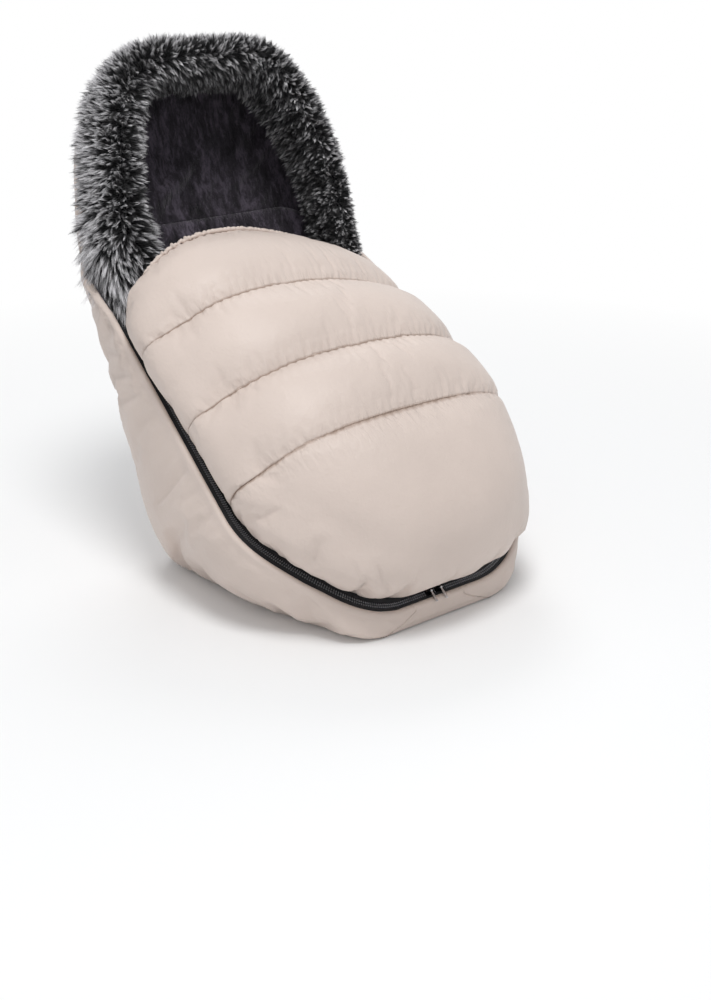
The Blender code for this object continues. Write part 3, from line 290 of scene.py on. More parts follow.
def cover_arch(half, end, crest, power, curve, bulge, lean, along):
    """One arch over the bag. The slack top edge leans to one side, by a share from 0 to 1."""
    angle = np.linspace(0, math.pi, 700)
    body = np.sin(angle)
    rise = np.abs(body) ** power
    side = -np.sign(np.cos(angle)) * np.abs(np.cos(angle)) ** power
    x = half * side - bulge * np.sin(2 * angle) * crest[1] / SEAM_CRESTS[0]
    x = x + (LEAN_ACROSS * lean - LEAN_SHOULDER * math.sqrt(lean) * np.maximum(side, 0)) * body
    turn = lean * 1.6 * body**1.5 * side
    s = mix(end, crest[0], rise**curve) + along * body
    sag = LEAN_SAG * lean * body**2 * (0.3 + np.maximum(side, 0))
    return on_slope(x, s, 0.0015 + crest[1] * rise - LEAN_TILT * turn - sag)


def tray_rows(rows):
    """The tray's outside, from the rim at the feet down, along the floor and up the back."""
    rim = on_slope(0.0, -TRAY_EDGE, RIM_DROP)
    toe = rim - (0, 0, 0.015)
    start = np.array([0, rim[1] + 0.017, 0])
    reach = HIP_RADIUS * math.tan(BACK_SLOPE / 2)
    centre = np.array([0, CREASE[1] - CREASE[2] / math.tan(BACK_SLOPE) - reach, HIP_RADIUS])
    hip = [centre + HIP_RADIUS * np.array([0, math.sin(a), -math.cos(a)])
           for a in np.linspace(0, BACK_SLOPE, 4)]
    line = [rim, toe, start] + [mix(start, hip[0], k) for k in (1 / 3, 2 / 3)] + hip
    line += [mix(hip[-1], CREASE, (k + 1) / 5) for k in range(5)]
    line = np.array(line)
    made = []
    for share in np.linspace(0, 1, rows + 1):
        # Five of the line's thirteen spans run round the zip's corners
        place = share * 13
        turn = min(place / 5, 1) * math.pi / 2
        half = ZIP_STRAIGHT + (ZIP_HALF_WIDTH - ZIP_STRAIGHT + TRAY_EDGE) * math.sin(turn)
        s = ZIP_CORNER - (ZIP_CORNER + TRAY_EDGE) * math.cos(turn)
        s += max(0.0, place - 5) / 8 * (ZIP_LENGTH - ZIP_CORNER)
        middle = smooth_through(line, share)
        made.append(boxed_row(on_slope(0.0, s, RIM_DROP), middle, half, *boxed(TRAY_FLAT, 2)))
    return made


def boxed(flat, power, low=0.0):
    """Half a section, flat in the middle and rounded to the rim: width and depth shares."""
    angle = np.linspace(0, math.acos(low), 260)
    wide = flat + (1 - flat) * np.sin(angle) ** (2 / power)
    deep = (np.maximum(np.cos(angle), 0) ** (2 / power) - low) / (1 - low)
    level = np.linspace(0, flat, 60)[:-1]
    return np.concatenate([level, wide]), np.concatenate([np.ones(59), deep])


def boxed_row(end, middle, half, wide, deep):
    row = mix(end, middle, deep[:, None]) + half * wide[:, None] * ACROSS
    left = row[:0:-1] * (-1, 1, 1)
    return np.vstack([left, row])


def split_normal():
    """The way square to the joint between tray and hood."""
    return unit(np.cross(ACROSS, CREASE - on_slope(0.0, ZIP_LENGTH, RIM_DROP)))


def fur_point(x, rise, back):
    """A place on the fur arch: across, up by a share of its rise, and back from its middle."""
    skew = FUR_SKEW * back * (1 - rise) ** 2
    x, up, back = np.broadcast_arrays(x, mix(FUR_START, FUR_RISE, rise) + skew, back)
    return FUR_FOOT + x[..., None] * ACROSS + up[..., None] * LEAN_UP + back[..., None] * LEAN_BACK


def hood_rows(rows):
    """The hood's outside, from the crease up and over to the back of the fur."""
    top = on_slope(0.0, ZIP_LENGTH, RIM_DROP)
    square = split_normal()
    back = FUR_DEPTH / 2 + 0.0026
    first = mix(top, CREASE, HOOD_PIVOT) + square * 0.0004
    seam = (top - fur_point(0.0, 1.0, back)) @ square / (LEAN_UP @ square)
    last = fur_point(0.0, 1.0, back) + LEAN_UP * (seam + 0.012)
    front = FUR_FOOT + LEAN_UP * (FUR_RISE + 0.006) + LEAN_BACK * back
    start = CREASE + square * 0.0004
    height = front[2] - start[2]
    line = [start] + [start + (0, HOOD_DEPTH * d, height * h) for d, h in HOOD_PROFILE] + [front]
    limit = math.acos(HOOD_PIVOT)
    rear_half = TRAY_FLAT + (1 - TRAY_FLAT) * math.sin(limit)
    rear_wide, rear_deep = boxed(TRAY_FLAT, 2, HOOD_PIVOT)
    front_wide, front_deep = boxed(FUR_FLAT, FUR_POWER)
    made = []
    for share in np.linspace(0, 1, rows + 1):
        half = mix(rear_half * (ZIP_HALF_WIDTH + TRAY_EDGE), HOOD_FRONT_WIDTH, share)
        wide = mix(rear_wide / rear_half, front_wide, share)
        deep = mix(rear_deep, front_deep, share)
        end, middle = mix(first, last, share), smooth_through(line, share)
        made.append(boxed_row(end, middle, half, wide, deep))
    return made


# How the soft bag settles


def slope_places(points):
    """Each point's place across, up and off the zip's slope."""
    local = points - ZIP_FOOT
    return local @ ACROSS, local @ UP_SLOPE, local @ OFF_SLOPE


def slumped(points):
    """The bag's corners are drawn in, with all its layers: both at the feet, and one shoulder."""
    x, s, n = slope_places(points)
    left_foot = np.maximum(bell(x, -0.162, 0.095) * bell(s, 0.064, 0.095) - 0.20, 0) / 0.80
    right_foot = np.maximum(bell(x, 0.20, 0.080) * bell(s, 0.12, 0.11) - 0.05, 0) / 0.95
    deep = np.where(n < 0, faded(-n, 0.10), bell(n, 0, 0.16)) ** 1.5
    shoulder = bell(s, 0.49, 0.10) * np.clip(x / 0.16, 0, 1.3) ** 2
    inward = SIDE_DRAW * right_foot * deep + SHOULDER_DRAW * shoulder
    corner_way = 0.66 * ACROSS + 0.75 * UP_SLOPE
    points = points + (CORNER_DRAW * left_foot * deep)[..., None] * corner_way
    return points - inward[..., None] * ACROSS


def overhung(points):
    """The padded sides hang over the zip, and furthest where the cover is fullest."""
    x, s, n = slope_places(points)
    end = zip_reach(ZIP_LENGTH)
    px, ps, ox, os, at = zip_line(-end, end, 0.006)
    k = ((x[..., None] - px) ** 2 + (s[..., None] - ps) ** 2).argmin(-1)
    inside = (px[k] - x) * ox[k] + (ps[k] - s) * os[k]
    left, right = (np.interp(ps[k], *table) / 1000 for table in (OVERHANG_LEFT, OVERHANG_RIGHT))
    turn = math.pi * np.clip(n / OVERHANG_HEIGHT, 0, 1)
    rise = np.where(turn < math.pi / 2, np.sin(turn) ** 0.5, np.sin(turn) ** 2)
    fade = np.exp(-np.maximum(inside - COVER_EDGE, 0) / OVERHANG_FADE)
    push = np.where(at[k] < 0, left, right) * rise * fade
    return points + push[..., None] * (ox[k][..., None] * ACROSS + os[k][..., None] * UP_SLOPE)


def above_zip(points):
    """Keep the cloth that hangs over the zip clear of its teeth."""
    _, _, n = slope_places(points)
    lift = np.clip(0.0034 - n, 0, 0.02) * np.clip((n + 0.03) / 0.01, 0, 1)
    lift[:, :2] = lift[:, -2:] = 0
    return points + lift[..., None] * OFF_SLOPE


# Meshes


def grid_mesh(outer, cloth_size):
    """A bmesh grid laid on rows of points, with its UV map in metres."""
    rows, columns = outer.shape[0] - 1, outer.shape[1] - 1
    bm = bmesh.new()
    bmesh.ops.create_grid(bm, x_segments=columns, y_segments=rows, size=1)
    cell = bm.verts.layers.int.new("cell")
    for vert in bm.verts:
        i = round((vert.co.y + 1) / 2 * rows)
        j = round((vert.co.x + 1) / 2 * columns)
        vert[cell] = i * (columns + 1) + j
        vert.co = outer[i, j]
    uv = bm.loops.layers.uv.new("UVMap")
    for face in bm.faces:
        for loop in face.loops:
            i, j = divmod(loop.vert[cell], columns + 1)
            loop[uv].uv = (j / columns * cloth_size[0], i / rows * cloth_size[1])
    return bm, cell


def object_from(name, bm, materials):
    mesh = bpy.data.meshes.new(name)
    bm.to_mesh(mesh)
    bm.free()
    mesh.shade_smooth()
    made = bpy.data.objects.new(name, mesh)
    bpy.context.scene.collection.objects.link(made)
    for item in materials:
        mesh.materials.append(item)
    return made


def closed_cloth(name, outer, inner, cloth_size, materials, rim=0.0):
    """A closed body between two grids of points. Its rim on the zip's slope may be rounded up."""
    bm, cell = grid_mesh(outer, cloth_size)
    made = bmesh.ops.extrude_face_region(bm, geom=bm.faces[:], use_keep_orig=True)
    flat = inner.reshape(-1, 3)
    far = set()
    for part in made["geom"]:
        if isinstance(part, bmesh.types.BMVert):
            part.co = flat[part[cell]]
            far.add(part)
    if rim:
        cross = [edge for edge in bm.edges if (edge.verts[0] in far) != (edge.verts[1] in far)]
        cut = bmesh.ops.subdivide_edges(bm, edges=cross, cuts=3, use_grid_fill=True)
        for part in cut["geom_inner"]:
            if isinstance(part, bmesh.types.BMVert):
                _, _, n = slope_places(np.array(part.co))
                pair = [edge.other_vert(part) for edge in part.link_edges]
                share = 1.0 if all(other not in far for other in pair) else 0.72
                if n > -0.012:
                    part.co += Vector(OFF_SLOPE) * rim * share
    bmesh.ops.recalc_face_normals(bm, faces=bm.faces[:])
    return object_from(name, bm, materials)


def cut_slots(piece, cutters):
    """Cut the harness slots through a piece, and keep the result as its mesh."""
    for cutter in cutters:
        change = piece.modifiers.new("slot", "BOOLEAN")
        change.operation = "DIFFERENCE"
        change.object = cutter
        change.solver = "EXACT"
    graph = bpy.context.evaluated_depsgraph_get()
    mesh = bpy.data.meshes.new_from_object(piece.evaluated_get(graph))
    piece.modifiers.clear()
    piece.data = mesh


def stadium_loop(length, height, steps=10):
    """Points round a slot's edge, straight along X and round at its ends."""
    radius = height / 2
    points = []
    for sign in (1, -1):
        for k in range(steps + 1):
            angle = math.pi * (k / steps - 0.5)
            x = length / 2 - radius + radius * math.cos(angle)
            points.append((sign * x, sign * radius * math.sin(angle)))
    return points


def slot_places():
    """Centre, turn and wall of each slot: two at the shoulders and one between the legs."""
    wall = TRAY_DEPTH
    along = wall / math.sin(BACK_SLOPE)
    upright = Matrix.Rotation(math.pi / 2, 4, "X")
    made = []
    for x, height in SLOTS:
        y = CREASE[1] - (CREASE[2] - height) / math.tan(BACK_SLOPE) - along / 2
        made.append((Matrix.Translation((x, y, height)) @ upright, along))
    made.append((Matrix.Translation((0, CROTCH_SLOT_Y, wall / 2)), wall))
    return made


def slot_cutters():
    made = []
    for k, (place, wall) in enumerate(slot_places()):
        bm = bmesh.new()
        ring = [bm.verts.new((x, y, -wall / 2 - 0.02)) for x, y in stadium_loop(0.0526, 0.0146)]
        face = bm.faces.new(ring)
        top = bmesh.ops.extrude_face_region(bm, geom=[face], use_keep_orig=True)
        moved = [v for v in top["geom"] if isinstance(v, bmesh.types.BMVert)]
        bmesh.ops.translate(bm, vec=(0, 0, wall + 0.04), verts=moved)
        bmesh.ops.recalc_face_normals(bm, faces=bm.faces[:])
        bmesh.ops.transform(bm, matrix=place, verts=bm.verts[:])
        made.append(object_from(f"slot_cutter_{k}", bm, []))
    return made


def swept_rings(name, rings, finish, uv_length, closed=False):
    """A tube through rings of points: a grid rolled up, its seam merged and its ends filled."""
    rings = np.asarray(rings)
    count = rings.shape[1]
    rolled = np.concatenate([rings, rings[:, :1]], axis=1)
    bm, _ = grid_mesh(rolled, (0.1, uv_length))
    bmesh.ops.remove_doubles(bm, verts=bm.verts[:], dist=1e-6)
    if not closed:
        open_edges = [edge for edge in bm.edges if edge.is_boundary]
        bmesh.ops.holes_fill(bm, edges=open_edges, sides=count + 1)
    bmesh.ops.recalc_face_normals(bm, faces=bm.faces[:])
    return object_from(name, bm, [finishes()[finish]])


# Cloth that swells between its seams


def swell(start, held, pressure, slack, gather=None):
    """Let a sheet of cloth, sewn down along its seams, swell under the wadding's push.
    Slack is the spare length of the cloth, and gather where it has more and how much."""
    bm, cell = grid_mesh(start, (1, 1))
    order = np.array([vert[cell] for vert in bm.verts])
    outward = surface_normals(start).reshape(-1, 3)[order]
    bm.normal_update()
    facing = sum(vert.normal.dot(Vector(way)) for vert, way in zip(bm.verts, outward))
    if facing < 0:
        bmesh.ops.reverse_faces(bm, faces=bm.faces[:])
    sheet = object_from("swelling", bm, [])
    sewn = sheet.vertex_groups.new(name="sewn")
    sewn.add(np.nonzero(held.reshape(-1)[order])[0].tolist(), 1.0, "REPLACE")
    change = sheet.modifiers.new("cloth", "CLOTH")
    cloth = change.settings
    cloth.quality = 6
    cloth.mass = 0.15
    cloth.tension_stiffness = cloth.compression_stiffness = 18
    cloth.shear_stiffness = 8
    cloth.bending_stiffness = 0.35
    cloth.shrink_min = -slack
    if gather:
        where, most = gather
        spare = sheet.vertex_groups.new(name="gathered")
        for index, weight in enumerate(where.reshape(-1)[order].tolist()):
            spare.add([index], weight, "REPLACE")
        cloth.vertex_group_shrink = "gathered"
        cloth.shrink_max = -most
    cloth.use_pressure = True
    cloth.uniform_pressure_force = pressure
    cloth.effector_weights.gravity = 0
    cloth.vertex_group_mass = "sewn"
    change.collision_settings.use_collision = False
    scene = bpy.context.scene
    change.point_cache.frame_start, change.point_cache.frame_end = 1, SWELL_FRAMES
    for step in range(1, SWELL_FRAMES + 1):
        scene.frame_set(step)
    mesh = sheet.evaluated_get(bpy.context.evaluated_depsgraph_get()).to_mesh()
    places = np.zeros(len(mesh.vertices) * 3, np.float32)
    mesh.vertices.foreach_get("co", places)
    moved = np.zeros((len(order), 3))
    moved[order] = places.reshape(-1, 3)
    bpy.data.objects.remove(sheet, do_unlink=True)
    scene.frame_set(1)
    away = moved.reshape(start.shape) - start
    size = np.linalg.norm(away, axis=-1, keepdims=True)
    return start + away * np.minimum(1, SWELL_LIMIT / np.maximum(size, 1e-9))


# Materials


def linear(hex_value):
    """An sRGB hex value as linear red, green and blue."""
    made = []
    for k in (1, 3, 5):
        value = int(hex_value[k:k + 2], 16) / 255
        made.append(value / 12.92 if value <= 0.04045 else ((value + 0.055) / 1.055) ** 2.4)
    return (*made, 1.0)


def add(tree, kind, links=None, stops=(), **settings):
    """Add a node, set its attributes, colour stops and inputs, and link other nodes to it."""
    node = tree.nodes.new(kind)
    for key, value in settings.items():
        setattr(node, key, value)
    if stops:
        colours = node.color_ramp
        for _ in stops[2:]:
            colours.elements.new(0.5)
        for element, (place, colour) in zip(colours.elements, stops):
            element.position, element.color = place, colour
    for socket, value in (links or {}).items():
        if isinstance(value, bpy.types.NodeSocket):
            tree.links.new(value, node.inputs[socket])
        else:
            node.inputs[socket].default_value = value
    return node


def new_material(name, roughness, **shader_values):
    """A material with its node tree, its shader and its object's coordinates."""
    made = bpy.data.materials.new(name)
    made.use_nodes = True
    tree = made.node_tree
    shader = tree.nodes["Principled BSDF"]
    shader.inputs["Roughness"].default_value = roughness
    for key, value in shader_values.items():
        shader.inputs[key.replace("_", " ")].default_value = value
    return made, tree, shader, add(tree, "ShaderNodeTexCoord").outputs["Object"]


def cloth_place(tree):
    """The UV map's coordinates, which run over the cloth in metres."""
    return add(tree, "ShaderNodeUVMap", uv_map="UVMap").outputs["UV"]


def coat(tree, shader, colour, relief=None):
    """Lay a colour, and the relief that a bump gives, on a material's shader."""
    tree.links.new(colour, shader.inputs["Base Color"])
    if relief:
        tree.links.new(relief.outputs["Normal"], shader.inputs["Normal"])


def shade(hex_value, factor):
    colour = linear(hex_value)
    return (*(min(1.0, c * factor) for c in colour[:3]), 1.0)


def grey(value):
    return (value, value, value, 1.0)


def satin_nylon(name, hex_value, seams=0.0):
    """Plain-woven nylon with a satin calendered face: soft broad highlights and a fine crinkle.
    Where the cloth is quilted, seams is how far apart they lie on its UV map, in metres."""
    made, tree, shader, place = new_material(
        name, 0.48, Specular_IOR_Level=0.34, Sheen_Weight=0.10, Sheen_Roughness=0.4)
    cloth = cloth_place(tree)
    broad = add(tree, "ShaderNodeTexNoise", {"Vector": place, "Scale": 9.0, "Detail": 3.0})
    colour = add(tree, "ShaderNodeValToRGB", {"Fac": broad.outputs["Fac"]},
                 [(0.3, shade(hex_value, 0.95)), (0.7, shade(hex_value, 1.03))]).outputs["Color"]
    # Creases about 12 mm across, and finer crinkles about 4 mm
    crease = add(tree, "ShaderNodeTexNoise",
                 {"Vector": place, "Scale": 55.0, "Detail": 4.0, "Roughness": 0.55})
    crinkle = add(tree, "ShaderNodeTexNoise", {"Vector": place, "Scale": 220.0, "Detail": 2.0})
    # Threads are drawn 2 mm apart, coarser than the real ones, so that they show
    warp, weft = (add(tree, "ShaderNodeTexWave",
                      {"Vector": cloth, "Scale": 160.0, "Distortion": 0.4}, bands_direction=way)
                  for way in "XY")
    weave = add(tree, "ShaderNodeMath", {0: warp.outputs["Fac"], 1: weft.outputs["Fac"]},
                operation="MULTIPLY")
    relief = add(tree, "ShaderNodeBump",
                 {"Height": crease.outputs["Fac"], "Strength": 0.30, "Distance": 0.0035})
    for height, strength, distance in ((crinkle.outputs["Fac"], 0.18, 0.0008),
                                       (weave.outputs["Value"], 0.10, 0.0003)):
        relief = add(tree, "ShaderNodeBump", {"Height": height, "Normal": relief.outputs["Normal"],
                                              "Strength": strength, "Distance": distance})
    if seams:
        colour, relief = puckered(tree, cloth, seams, colour, relief)
    coat(tree, shader, colour, relief)
    return made


def puckered(tree, cloth, seams, colour, relief):
    """Small gathers beside each seam, and painted shade darkening its needle line."""
    split = add(tree, "ShaderNodeSeparateXYZ", {"Vector": cloth})
    away = add(tree, "ShaderNodeMath", {0: split.outputs["Y"], 1: seams / 2}, operation="PINGPONG")
    share = add(tree, "ShaderNodeMath", {0: away.outputs["Value"], 1: seams / 2},
                operation="DIVIDE")
    near = add(tree, "ShaderNodeValToRGB", {"Fac": share.outputs["Value"]},
               [(0.0, grey(1)), (0.16, grey(0.55)), (0.45, grey(0))])
    # Gathers about 8 mm across, four times as long as they are wide
    drawn = add(tree, "ShaderNodeMapping", {"Vector": cloth, "Scale": (1.0, 0.22, 1.0)})
    gather = add(tree, "ShaderNodeTexNoise",
                 {"Vector": drawn.outputs["Vector"], "Scale": 125.0, "Detail": 2.5,
                  "Roughness": 0.5, "Distortion": 0.4})
    height = add(tree, "ShaderNodeMath", {0: gather.outputs["Fac"], 1: near.outputs["Color"]},
                 operation="MULTIPLY")
    bump = add(tree, "ShaderNodeBump",
               {"Height": height.outputs["Value"], "Normal": relief.outputs["Normal"],
                "Strength": 0.85, "Distance": 0.0060})
    # Painted shade: the base colour is multiplied down to brown along each seam, for its crease.
    line = add(tree, "ShaderNodeValToRGB", {"Fac": share.outputs["Value"]},
               [(0.0, (0.42, 0.36, 0.32, 1)), (0.030, (0.66, 0.60, 0.56, 1)), (0.085, grey(1))])
    dark = add(tree, "ShaderNodeMix", {"Factor": 1.0, "A": colour, "B": line.outputs["Color"]},
               data_type="RGBA", blend_type="MULTIPLY")
    return dark.outputs["Result"], bump


def knitted_plush(name, hex_value, painted_light_factor=1.0):
    """Short brushed pile: dark, with paler patches where it has been stroked the other way.
    Its last argument is painted light: the whole cloth paler, as on a lining facing upwards."""
    made, tree, shader, place = new_material(
        name, 0.92, Specular_IOR_Level=0.15, Sheen_Weight=0.7, Sheen_Roughness=0.4)
    # Patches about 25 mm across, slanting strokes 6 mm wide, and fibres drawn 1.5 mm thick to show
    layers = []
    for stretch, slant, scale, detail, roughness, distortion in (
            ((1.0, 1.0, 0.45), -1.0, 30.0, 3.0, 0.55, 0.6),
            ((1.0, 0.6, 0.30), -0.9, 150.0, 4.0, 0.65, 0.5),
            ((1.0, 1.0, 0.45), 0.4, 620.0, 2.0, 0.70, 0.0)):
        laid = add(tree, "ShaderNodeMapping",
                   {"Vector": place, "Scale": stretch, "Rotation": (0.0, slant, 0.0)})
        layers.append(add(tree, "ShaderNodeTexNoise",
                          {"Vector": laid.outputs["Vector"], "Scale": scale, "Detail": detail,
                           "Roughness": roughness, "Distortion": distortion}).outputs["Fac"])
    patch, stroke, fibre = layers
    both = add(tree, "ShaderNodeMath", {0: patch, 1: stroke}, operation="ADD")
    half = add(tree, "ShaderNodeMath", {0: both.outputs["Value"], 1: 0.42}, operation="MULTIPLY")
    grain = add(tree, "ShaderNodeMath", {0: fibre, 1: 0.16, 2: half.outputs["Value"]},
                operation="MULTIPLY_ADD")
    # The factor paints light into every stop of the ramp.
    colour = add(tree, "ShaderNodeValToRGB", {"Fac": grain.outputs["Value"]},
                 [(0.40, shade(hex_value, 0.35 * painted_light_factor)), (0.5, shade(hex_value, 1.2 * painted_light_factor)),
                  (0.60, shade(hex_value, 3.6 * painted_light_factor))])
    pile = add(tree, "ShaderNodeBump", {"Height": stroke, "Strength": 0.5, "Distance": 0.003})
    relief = add(tree, "ShaderNodeBump", {"Height": fibre, "Normal": pile.outputs["Normal"],
                                          "Strength": 0.7, "Distance": 0.0012})
    coat(tree, shader, colour.outputs["Color"], relief)
    return made


def acrylic_fur(name, root, tip):
    """Long acrylic hair, black at the skin and frosted at the tip.
    The UV map holds a hair's shade across, and how far along the hair a place lies."""
    made, tree, shader, _ = new_material(name, 0.50, Specular_IOR_Level=0.4, Sheen_Weight=0.15)
    split = add(tree, "ShaderNodeSeparateXYZ", {"Vector": cloth_place(tree)})
    frosted = add(tree, "ShaderNodeValToRGB", {"Fac": split.outputs["Y"]},
                  [(0.0, linear(root)), (0.44, shade(root, 1.5)), (0.60, shade(tip, 0.35)),
                   (0.74, linear(tip))])
    plain = add(tree, "ShaderNodeValToRGB", {"Fac": split.outputs["Y"]},
                [(0.0, linear(root)), (0.6, shade(root, 1.6)), (1.0, shade(tip, 0.06))])
    pick = add(tree, "ShaderNodeValToRGB", {"Fac": split.outputs["X"]},
               [(0.45, grey(0)), (0.62, grey(0.35)), (0.80, grey(1))])
    colour = add(tree, "ShaderNodeMix",
                 {"Factor": pick.outputs["Color"], "A": plain.outputs["Color"],
                  "B": frosted.outputs["Color"]}, data_type="RGBA")
    coat(tree, shader, colour.outputs["Result"])
    return made


def under_pile(name, root):
    """Dense crimped hair under the long hair: almost black and rough."""
    made, tree, shader, place = new_material(name, 0.95, Specular_IOR_Level=0.1)
    tuft = add(tree, "ShaderNodeTexNoise", {"Vector": place, "Scale": 300.0, "Detail": 3.0})
    colour = add(tree, "ShaderNodeValToRGB", {"Fac": tuft.outputs["Fac"]},
                 [(0.35, linear(root)), (0.75, shade(root, 5.0))])
    relief = add(tree, "ShaderNodeBump",
                 {"Height": tuft.outputs["Fac"], "Strength": 0.9, "Distance": 0.003})
    coat(tree, shader, colour.outputs["Color"], relief)
    return made


def woven_tape(name, hex_value, spacing=1.6):
    """Ribbed woven tape or webbing: matt, with ribs across it at a spacing in millimetres."""
    made, tree, shader, place = new_material(name, 0.72, Specular_IOR_Level=0.3, Sheen_Weight=0.15)
    # A wave's bands repeat 314 / scale millimetres apart
    rib = add(tree, "ShaderNodeTexWave", {"Vector": cloth_place(tree), "Scale": 314.0 / spacing},
              bands_direction="Y")
    lint = add(tree, "ShaderNodeTexNoise", {"Vector": place, "Scale": 160.0, "Detail": 3.0})
    colour = add(tree, "ShaderNodeValToRGB", {"Fac": lint.outputs["Fac"]},
                 [(0.3, shade(hex_value, 0.75)), (0.75, shade(hex_value, 1.5))])
    ribbed = add(tree, "ShaderNodeBump",
                 {"Height": rib.outputs["Fac"], "Strength": 0.5, "Distance": 0.0004})
    relief = add(tree, "ShaderNodeBump",
                 {"Height": lint.outputs["Fac"], "Normal": ribbed.outputs["Normal"],
                  "Strength": 0.3, "Distance": 0.0006})
    coat(tree, shader, colour.outputs["Color"], relief)
    return made


def plated_metal(name, hex_value, roughness):
    """Plated zinc die casting, brighter where it is rubbed and dulled by handling."""
    made, tree, shader, place = new_material(name, roughness, Metallic=1.0)
    smear = add(tree, "ShaderNodeTexNoise", {"Vector": place, "Scale": 500.0, "Detail": 3.0})
    colour = add(tree, "ShaderNodeValToRGB", {"Fac": smear.outputs["Fac"]},
                 [(0.3, shade(hex_value, 0.8)), (0.7, shade(hex_value, 1.15))])
    rough = add(tree, "ShaderNodeMapRange",
                {"Value": smear.outputs["Fac"], "To Min": roughness * 0.8,
                 "To Max": roughness * 1.3})
    tree.links.new(rough.outputs["Result"], shader.inputs["Roughness"])
    coat(tree, shader, colour.outputs["Color"])
    return made


def moulded_acetal(name, hex_value):
    """Injection-moulded acetal with a fine spark-eroded texture."""
    made, tree, shader, place = new_material(name, 0.38, IOR=1.48)
    grain = add(tree, "ShaderNodeTexNoise", {"Vector": place, "Scale": 1500.0, "Detail": 2.0})
    colour = add(tree, "ShaderNodeValToRGB", {"Fac": grain.outputs["Fac"]},
                 [(0.3, shade(hex_value, 0.85)), (0.7, shade(hex_value, 1.2))])
    relief = add(tree, "ShaderNodeBump",
                 {"Height": grain.outputs["Fac"], "Strength": 0.35, "Distance": 0.0002})
    coat(tree, shader, colour.outputs["Color"], relief)
    return made


def dotted_grip(name, hex_value):
    """Felt with rubber dots 6 mm apart, which stop the bag from sliding on a seat."""
    made, tree, shader, place = new_material(name, 0.7, Specular_IOR_Level=0.35)
    dots = add(tree, "ShaderNodeTexVoronoi",
               {"Vector": cloth_place(tree), "Scale": 167.0, "Randomness": 0.0})
    height = add(tree, "ShaderNodeValToRGB", {"Fac": dots.outputs["Distance"]},
                 [(0.26, grey(1)), (0.34, grey(0))]).outputs["Color"]
    felt = add(tree, "ShaderNodeTexNoise", {"Vector": place, "Scale": 350.0, "Detail": 3.0})
    fuzz = add(tree, "ShaderNodeValToRGB", {"Fac": felt.outputs["Fac"]},
               [(0.3, shade(hex_value, 1.2)), (0.7, shade(hex_value, 2.6))])
    colour = add(tree, "ShaderNodeMix",
                 {"Factor": height, "A": fuzz.outputs["Color"], "B": shade(hex_value, 0.6)},
                 data_type="RGBA")
    relief = add(tree, "ShaderNodeBump", {"Height": height, "Strength": 0.8, "Distance": 0.0008})
    coat(tree, shader, colour.outputs["Result"], relief)
    return made


FINISHES = {}


def finishes():
    """Each finish is made once."""
    if not FINISHES:
        colours = bpy.context.scene.bunting_colours
        FINISHES.update(
            nylon=satin_nylon("satin_nylon_taffeta", colours.nylon),
            # Quilted and puffed nylon carry painted shade along their seams.
            quilted=satin_nylon("quilted_nylon_taffeta_painted_seam_shade", colours.nylon, 0.12),
            puffed=satin_nylon("puffed_nylon_taffeta_painted_seam_shade", colours.nylon, 0.34),
            plush=knitted_plush("brushed_knit_plush", colours.plush),
            # The seat's plush is the same cloth with painted light, paler where it faces up.
            seat_plush=knitted_plush("brushed_knit_plush_seat_painted_lit", colours.plush, 1.3),
            fur=acrylic_fur("frosted_acrylic_hair", colours.fur_root, colours.fur_tip),
            pile=under_pile("crimped_under_pile", colours.fur_root),
            tape=woven_tape("polyester_zip_tape", colours.black),
            webbing=woven_tape("polypropylene_webbing", colours.black, 2.4),
            coil=plated_metal("gunmetal_zip_teeth", "#8A8A8E", 0.35),
            enamel=plated_metal("black_enamelled_zinc", "#1C1C1F", 0.30),
            nickel=plated_metal("bright_nickel_plate", "#C4C4C6", 0.22),
            acetal=moulded_acetal("moulded_acetal", "#16161A"),
            grip=dotted_grip("dotted_grip_felt", "#1B1B1D"),
            # The thread is drawn darker than the cloth: partly its own colour, partly painted shade
            # of its seam crease.
            thread=woven_tape("polyester_thread", "#8A7666", 0.8),
        )
    return FINISHES


# Pieces


def side_fade(columns):
    """1 over most of a sheet, falling to 0 at its two sides."""
    angle = np.linspace(0, math.pi, columns + 1)
    return np.minimum(1, np.sin(angle) / 0.45)


def seam_stitches(name, line, normals, carry):
    """A row of lock stitches along a seam: each a thread that dips into the cloth at both ends."""
    length = np.linalg.norm(np.diff(line, axis=0), axis=1).sum()
    count = round(length / STITCH_PITCH)
    path = evened(line, count)
    lift = evened(normals, count)
    bm = bmesh.new()
    for k in range(count):
        along = Vector(path[k + 1] - path[k]).normalized()
        up = Vector(lift[k])
        up = (up - along * up.dot(along)).normalized()
        turn = Matrix((along, up.cross(along), up)).transposed().to_4x4()
        size = Matrix.Diagonal((STITCH_PITCH * 0.39, *THREAD_RADII, 1))
        middle = (path[k] + path[k + 1]) / 2 + np.array(up) * 0.0003
        bmesh.ops.create_uvsphere(bm, u_segments=6, v_segments=4, radius=1,
                                  matrix=Matrix.Translation(middle) @ turn @ size)
    piece = object_from(name, bm, [finishes()["thread"]])
    carry(piece)


def padded_pair(names, grid, outer, depth, cloth_size, replaced, carry, finish="nylon", folds=None):
    """Outer cloth over wadding, and the plush lining under it, from one seam-level surface."""
    normals = surface_normals(grid)
    top = grid - normals * (depth - LINING)
    under = grid - normals * (depth + (0 if folds is None else folds[..., None]))
    layers = [slumped(layer) for layer in (outer, top + normals * LAYER_GAP, top, under)]
    made = finishes()
    body = closed_cloth(names[0], *layers[:2], cloth_size, [made[finish]])
    lining = closed_cloth(names[1], *layers[2:], cloth_size, [made["plush"]])
    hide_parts(*replaced[0])
    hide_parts(*replaced[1])
    carry(body)
    carry(lining)


